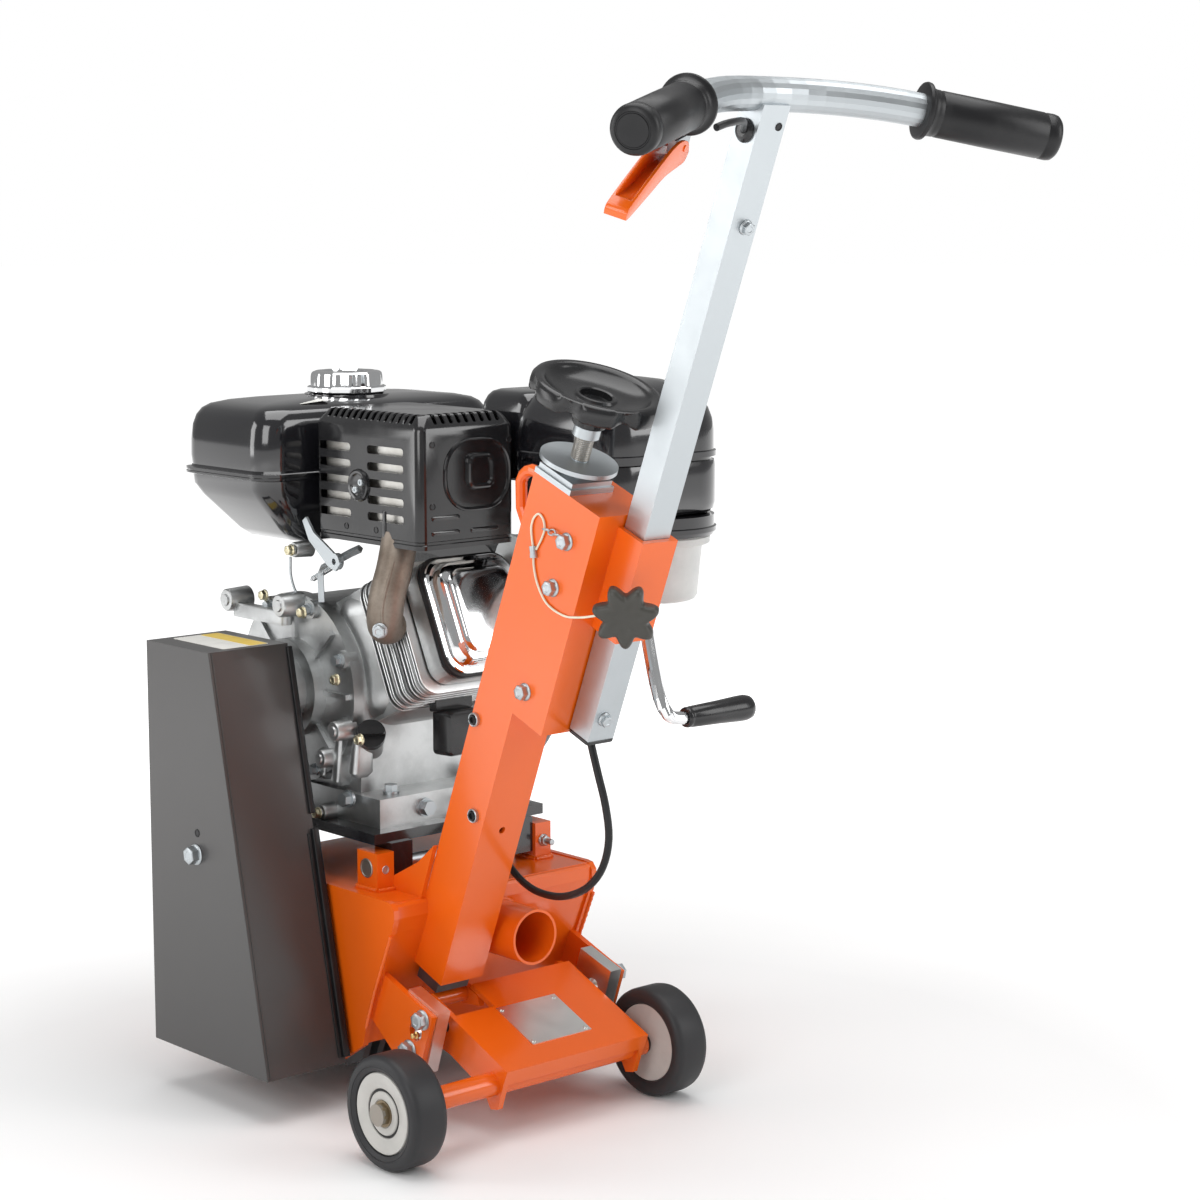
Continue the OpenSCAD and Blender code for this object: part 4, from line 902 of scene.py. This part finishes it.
# %% Bosses, ribs and brackets
bosses = []
for place, radius, length in (((-78, 372, 462), 11, 26), ((-78, 283, 466), 11, 26), ((-70, 208, 353), 9.5, 22),
                              ((-66, 236, 322), 9, 20), ((-60, 282, 519), 7.5, 20), ((-62, 241, 268), 8, 22)):
    ring = turned("boss", [(0, 1.6), (radius * 0.48, 1.6), (radius * 0.55, 0), (radius * 0.9, -0.2),
        (radius, -1.6), (radius * 1.12, -length), (0, -length)], 32)
    bosses.append(settle(ring, aimed(place, left)))
web = stacked("web", rounded(12, 88, 5), [(-12, 1, 1), (0, 1, 1), (1.5, 0.8, 0.97)])
bosses.append(settle(web, Matrix.Translation(Vector((-66, 327, 458)) * mm)))
for y, z, tall in ((228, 330, 70), (200, 330, 46), (252, 318, 40)):
    column = stacked("column", rounded(24, 13, 5), [(0, 0.6, 0.6), (5, 1, 1), (tall - 12, 0.85, 0.8),
        (tall, 0.3, 0.4)])
    bosses.append(settle(column, Matrix.Translation(Vector((-44, y, z - tall / 2)) * mm)
                         @ Matrix.Rotation(math.radians(6), 4, "X")))
barrel_rim = stacked("rim", rounded(128, 136, 30), [(70, 0.98, 0.98), (72, 1, 1), (88, 1, 1), (96, 0.96, 0.96),
    (110, 0.90, 0.90)])
bosses.append(settle(barrel_rim, at_cylinder))
finish(join("engine_bosses", *bosses), "cast_alloy", angle=40)
gold = repeat("engine_gold_bolts", hex_bolt("bolt", 8.5, 5.5), [
    aimed(place, left, 10 * count) for count, place in enumerate((
        (-72, 250, 463), (-66, 206, 403), (-61, 176, 349), (-64, 241, 268), (-62, 282, 519),
        (-60, 330, 470)))])
finish(gold, "gold_zinc", bevel=0.2)
lever = tube("governor_lever", [(-44, 196, 527), (-46, 208, 522), (-47, 252, 503), (-47, 256, 497),
    (-46, 256, 470)], 4, 0)
link = tube("governor_link", smooth_path([
    (-62, 284, 512), (-60, 286, 492), (-56, 280, 474), (-50, 262, 466)], 6), 1.3, 3)
coil = [(-46 + 2.6 * math.cos(i * 0.9), 232 + i * 0.35, 508 - i * 0.16 + 2.6 * math.sin(i * 0.9))
        for i in range(110)]
finish(join("governor_parts", lever, link, tube("spring", coil, 0.55, 2)), "zinc", angle=50)
box_cover = stacked("coil_cover", rounded(38, 46, 6), [(0, 1, 1), (20, 0.96, 0.96), (24, 0.86, 0.88),
    (24.6, 0.7, 0.75)])
lip = stacked("lip", rounded(46, 14, 3), [(0, 1, 1), (9, 0.95, 0.9)])
settle(lip, Matrix.Translation(Vector((0, 26, 0)) * mm))
finish(settle(join("coil_cover", box_cover, lip), aimed((24, 150, 352), rear)), "black_plastic")

# %% [markdown]
# Lanyard. A thin coated wire keeps the locking pin from being lost. Its end is bent into a loop
# and crimped in a sleeve, and the other end goes round the knob's stem.

# %% Lanyard, crimp and ring
lanyard_route = [(-47, 446, 28.4), (-47, 458, 31.5), (-47, 468, 32), (-47, 475, 27), (-47, 476.5, 20),
    (-47, 470, 15.5), (-47, 461, 15.5), (-47, 452, 20), (-47, 444, 25), (-47, 432, 30), (-47, 422, 37),
    (-47, 414, 46), (-47, 408.5, 56), (-47, 407, 66), (-47, 407.5, 76), (-47, 409.5, 86),
    (-46.5, 414, 96), (-44, 420, 107), (-36.8, 430, 121.6), (-29.3, 434.5, 129.1)]
wire = smooth_path([post_point(x, t, s) for x, s, t in lanyard_route], 4)
lanyard = tube("lanyard_wire", wire, 1.0, 4)
finish(lanyard, "cord", angle=60, stands_for=("lanyard",))
wire_length = sum((b - a).length for a, b in zip(wire, wire[1:]))
wire[0] * mm
[p * mm for p in wire]
crimp = turned("lanyard_crimp", [
    (0, 0), (3.4, 0), (3.6, 0.8), (3.2, 5), (3.6, 9.4), (3.4, 10.2), (0, 10.2)], 24)
crimp_way = post_point(0, 22.5, 450) - post_point(0, 28.5, 438)
finish(settle(crimp, aimed(post_point(-47.4, 28.5, 438), crimp_way)), "zinc")
chain = []
for count, (s, t) in enumerate(((469, 36), (470, 43), (471, 50))):
    shape = [(4.6 * math.cos(a), 2.6 * math.sin(a), 0) for a in (i * math.tau / 16 for i in range(17))]
    link = tube("link", shape, 0.8, 3)
    chain.append(settle(link, Matrix.Translation(post_point(-48.2, t, s) * mm)
                        @ Matrix.Rotation(math.radians(90 * (count % 2) + 20), 4,
                        "Y") @ Matrix.Rotation(math.pi / 2, 4, "Z")))
finish(join("lanyard_chain", *chain), "zinc", angle=60)
print("lanyard wire mm:", round(wire_length, 1))
# %% [markdown]
# Air cleaner. Its black lid is a deep rounded moulding with a seam ring, and a duct joins it to
# the engine. Both are outlines drawn up through levels. The bowl below is turned, thin and milky.


# %% Air cleaner and its bowl
def at(x, y, z=0.0):
    return Matrix.Translation(Vector((x, y, z)) * mm)


lid = stacked("lid", rounded(168, 150, 44, 12), [
    (560, 0.90, 0.90), (561, 0.95, 0.95), (564, 0.985, 0.985), (570, 1, 1), (606, 1, 1),
    (610, 0.99, 0.99), (611, 0.965, 0.96), (613.4, 0.965, 0.96), (614, 1, 1.02), (619, 1, 1.02),
    (620, 0.985, 0.985), (638, 0.985, 0.985), (649, 0.97, 0.965), (659, 0.93, 0.92), (668, 0.86, 0.85),
    (675, 0.77, 0.75), (681, 0.64, 0.61), (685, 0.48, 0.43), (687.4, 0.28, 0.22), (688, 0.12, 0.08)])
duct = stacked("duct", rounded(80, 84, 20, 8), [
    (590, 0.94, 0.94), (592, 1, 1), (654, 1, 1), (662, 0.96, 0.96), (668, 0.89, 0.89),
    (672, 0.80, 0.80), (674, 0.66, 0.66)])
ring = turned("ring", [
    (0, 540), (55, 540), (60, 541.5), (62, 545), (62, 549), (60, 550), (60, 560), (0, 560)], 72)
tab = modify(settle(block("tab", (229, 30, 596), (238, 62, 632))), "BEVEL", width=0.003, segments=3,
    limit_method="NONE")
finish(join("air_cleaner_shell", settle(lid, at(150, 52)), settle(duct, at(112, 126)),
    settle(ring, at(168, 22)), tab), "gloss_shell", angle=28, stands_for=("air_cleaner",))
bowl = turned("cleaner_bowl_shell", [
    (0, 478), (38, 478), (42, 479.5), (44.2, 483), (46.4, 508), (48.6, 530), (49.6, 532), (55, 532.4),
    (56, 533.4), (56, 539), (55, 540), (46.6, 540), (46, 534), (43.8, 508), (41.8, 484), (40, 481.6),
    (37, 481), (0, 481)], 72)
finish(settle(bowl, at(168, 22)), "bowl_plastic", stands_for=("cleaner_bowl",))

# %% [markdown]
# Fan housing. The pull starter is a stepped drum pressed from sheet, with a ring of cooling
# slots. The drum is turned about the crankshaft and the slots are one boolean.

# %% Fan housing with its slots
at_crank = aimed((110, crank_y, crank_z), (1, 0, 0))
drum = turned("drum", [
    (0, 0), (116.5, 0), (118, 1.5), (118, 76), (116.6, 81), (113, 84), (108, 85.6), (99, 86),
    (98, 87.2), (98, 105), (96.6, 109), (93, 111.4), (89, 112), (77, 112.4), (75.2, 113.6), (75, 119),
    (73.6, 122), (70.4, 123.6), (66, 124), (47, 124.2), (45.2, 125.2), (45, 128), (43.6, 129.6),
    (41, 130), (12, 130), (10, 128.6), (10, 100), (0, 100)], 96)
teeth = []
for count in range(24):
    tooth = slot_tool((51, -3.2, 104), (70, 3.2, 140), 2.4)
    teeth.append(settle(tooth, Matrix.Rotation(math.tau * count / 24, 4, "Z")))
    if count % 2:
        tooth = slot_tool((92, -7, 92), (110, 7, 100), 2.4)
        teeth.append(settle(tooth, Matrix.Rotation(math.tau * count / 24, 4, "Z")))
cut(drum, *teeth)
shoulder = stacked("shoulder", rounded(150, 112, 26), [(0, 0.98, 0.98), (1.5, 1, 1), (64, 1, 1),
    (68, 0.98, 0.975), (70, 0.94, 0.93)])
outlet = turned("outlet", [(6.2, 8), (9.5, 8), (10.4, 14), (9.6, 17), (7.2, 18), (6.2, 17), (6.2, 8)], 40)
finish(join("fan_housing_drum", settle(drum, at_crank), settle(shoulder, aimed((110, 255, 464), (1, 0, 0))),
            settle(outlet, aimed((207, 230, 444), (0, -1, 1)))), "guard_black", angle=32,
            stands_for=("fan_housing",))
screws = [aimed((195.6, crank_y + 108 * math.cos(a), crank_z + 108 * math.sin(a)), (1, 0, 0))
          for a in (math.radians(20 + 90 * i) for i in range(4))]
finish(repeat("fan_housing_screws", hex_bolt("bolt", 8, 4.5), screws), "zinc", bevel=0.2)
print("cooling slots:", len(teeth))

# %% [markdown]
# Mast details. A clamp bolt and a small stop bolt show on the square tube, its lower end wears
# a plastic cap, and a rubber grommet takes the thin cable of the safety lever into it.

# %% Bolts, cap and grommet on the mast
mast_bolts = repeat("mast_bolts", hex_bolt("bolt", 10, 5.5), [
    aimed(post_point(2, 119.8, 782), back_post, 10), aimed(post_point(-3, 119.8, 320), back_post, 35)])
finish(mast_bolts, "zinc", "mast", bevel=0.25)
# Painted shade: the hole in the mast is a closed dark rubber disc, standing in for the shaded inside of the
# tube.
mast_hole = turned("mast_hole", [(0, 0.2), (2.4, 0.2), (2.8, 0.7), (3.4, 0.6), (3.6, 0), (0, -0.4)], 28)
finish(settle(mast_hole, aimed(post_point(8, 119.8, 868), back_post)), "rubber", "mast")
lean_turn = Matrix((Vector((1, 0, 0)), -back_post, up_post)).transposed().to_4x4()
at_mast_end = Matrix.Translation(post_point(0, mast_back, 298) * mm) @ lean_turn
end_cap = stacked("end_cap", rounded(31.6, 27.6, 3), [(-4, 0.9, 0.9), (-3.2, 0.98, 0.98), (-2.4, 1, 1),
    (-0.4, 1, 1), (0, 0.97, 0.97)])
grommet = turned("grommet", [
    (0, 0), (9.8, 0), (10, 1.4), (8.4, 2.6), (7.2, 4.4), (5.6, 5), (3.2, 5), (0, 4.6)], 40)
finish(join("mast_cap_mouldings", settle(end_cap, at_mast_end),
    settle(grommet, aimed(post_point(-15, mast_back, 860), left))), "black_plastic", "mast",
    stands_for=("mast_cap",))

# %% [markdown]
# Safety lever. It is a tapered channel of painted sheet. Its side outline is drawn across the
# width, a second outline hollows it from above, and a small bevel rounds every edge.

# %% Safety lever
at_clamp = Matrix.Translation(Vector((-131.8, -344.3, 926.1)) * mm) @ Matrix.Rotation(math.radians(206.7), 4,
    "Z") \
    @ Matrix.Rotation(math.radians(10.5), 4, "Y") @ Matrix.Rotation(math.radians(72), 4, "X")


def side_outline(name, points, half_width):
    outline = [(p.x, p.y) for p in smooth_path([(*p, 0) for p in points + points[:1]], 4)[:-1]]
    return stacked(name, outline, [(-half_width, 1, 1), (half_width, 1, 1)])


safety = side_outline("safety_lever", [(1, -35), (8, -26), (24, -23), (44, -27), (80, -42), (108, -55),
    (116, -60), (117, -65), (112, -67), (76, -56), (48, -47), (22, -44), (7, -42)], 9)
hollow = side_outline("hollow", [(-14, -18), (44, -16), (84, -28), (108, -48), (104, -55), (76, -52),
    (48, -43.5), (22, -40.5), (-14, -39)], 6.4)
cut(safety, hollow)
modify(safety, "BEVEL", width=0.0009, segments=3, limit_method="ANGLE", angle_limit=math.radians(40))
pivot = settle(turned("pivot", [(0, -9.8), (2.6, -9.8), (2.6, 9.8), (0, 9.8)], 32),
    Matrix.Translation(Vector((14, -30, 0)) * mm))
finish(settle(join("safety_lever", safety, pivot), at_clamp), "orange_paint", "opc_lever", angle=40,
    stands_for=("opc_lever",))

# %% [markdown]
# Cables. Each is a tube of its real width along a smooth route, and its length is printed.
# The long stop cable joins two bodies, so it is attached to neither.


# %% Cables
def cable(name, route, radius, look, body, **facts):
    path = [p * mm for p in smooth_path(route, 4)]
    piece = tube(name, [p / mm for p in path], radius, 6)
    length = sum((b - a).length for a, b in zip(path, path[1:]))
    finish(piece, look, body, angle=60)
    print(name, "mm:", round(length / mm))
    return piece


stop_route = [(0, -81, 379), (2, -89, 350), (6, -95, 320), (10, -95, 290), (12, -85, 262), (14, -64, 240),
    (18, -34, 225), (24, 0, 217), (32, 40, 216), (42, 80, 226), (50, 108, 246), (54, 128, 264),
    (54, 146, 274), (53, 165, 277)]
stop_cable = cable("stop_cable_sheath", stop_route[::-1], 3.5, "rubber", None, stiffness="medium",
    lay="hanging")
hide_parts("stop_cable")
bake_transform(stop_cable)
lever_route = [(-104, -345, 909), (-92, -343, 912), (-76, -337, 914), (-58, -326, 915), (-42, -312, 914),
    (-29, -298, 911), (-18, -287.5, 909)]
cable("lever_cable_sheath", lever_route, 3.0, "rubber", "mast", stiffness="medium", lay="loose")
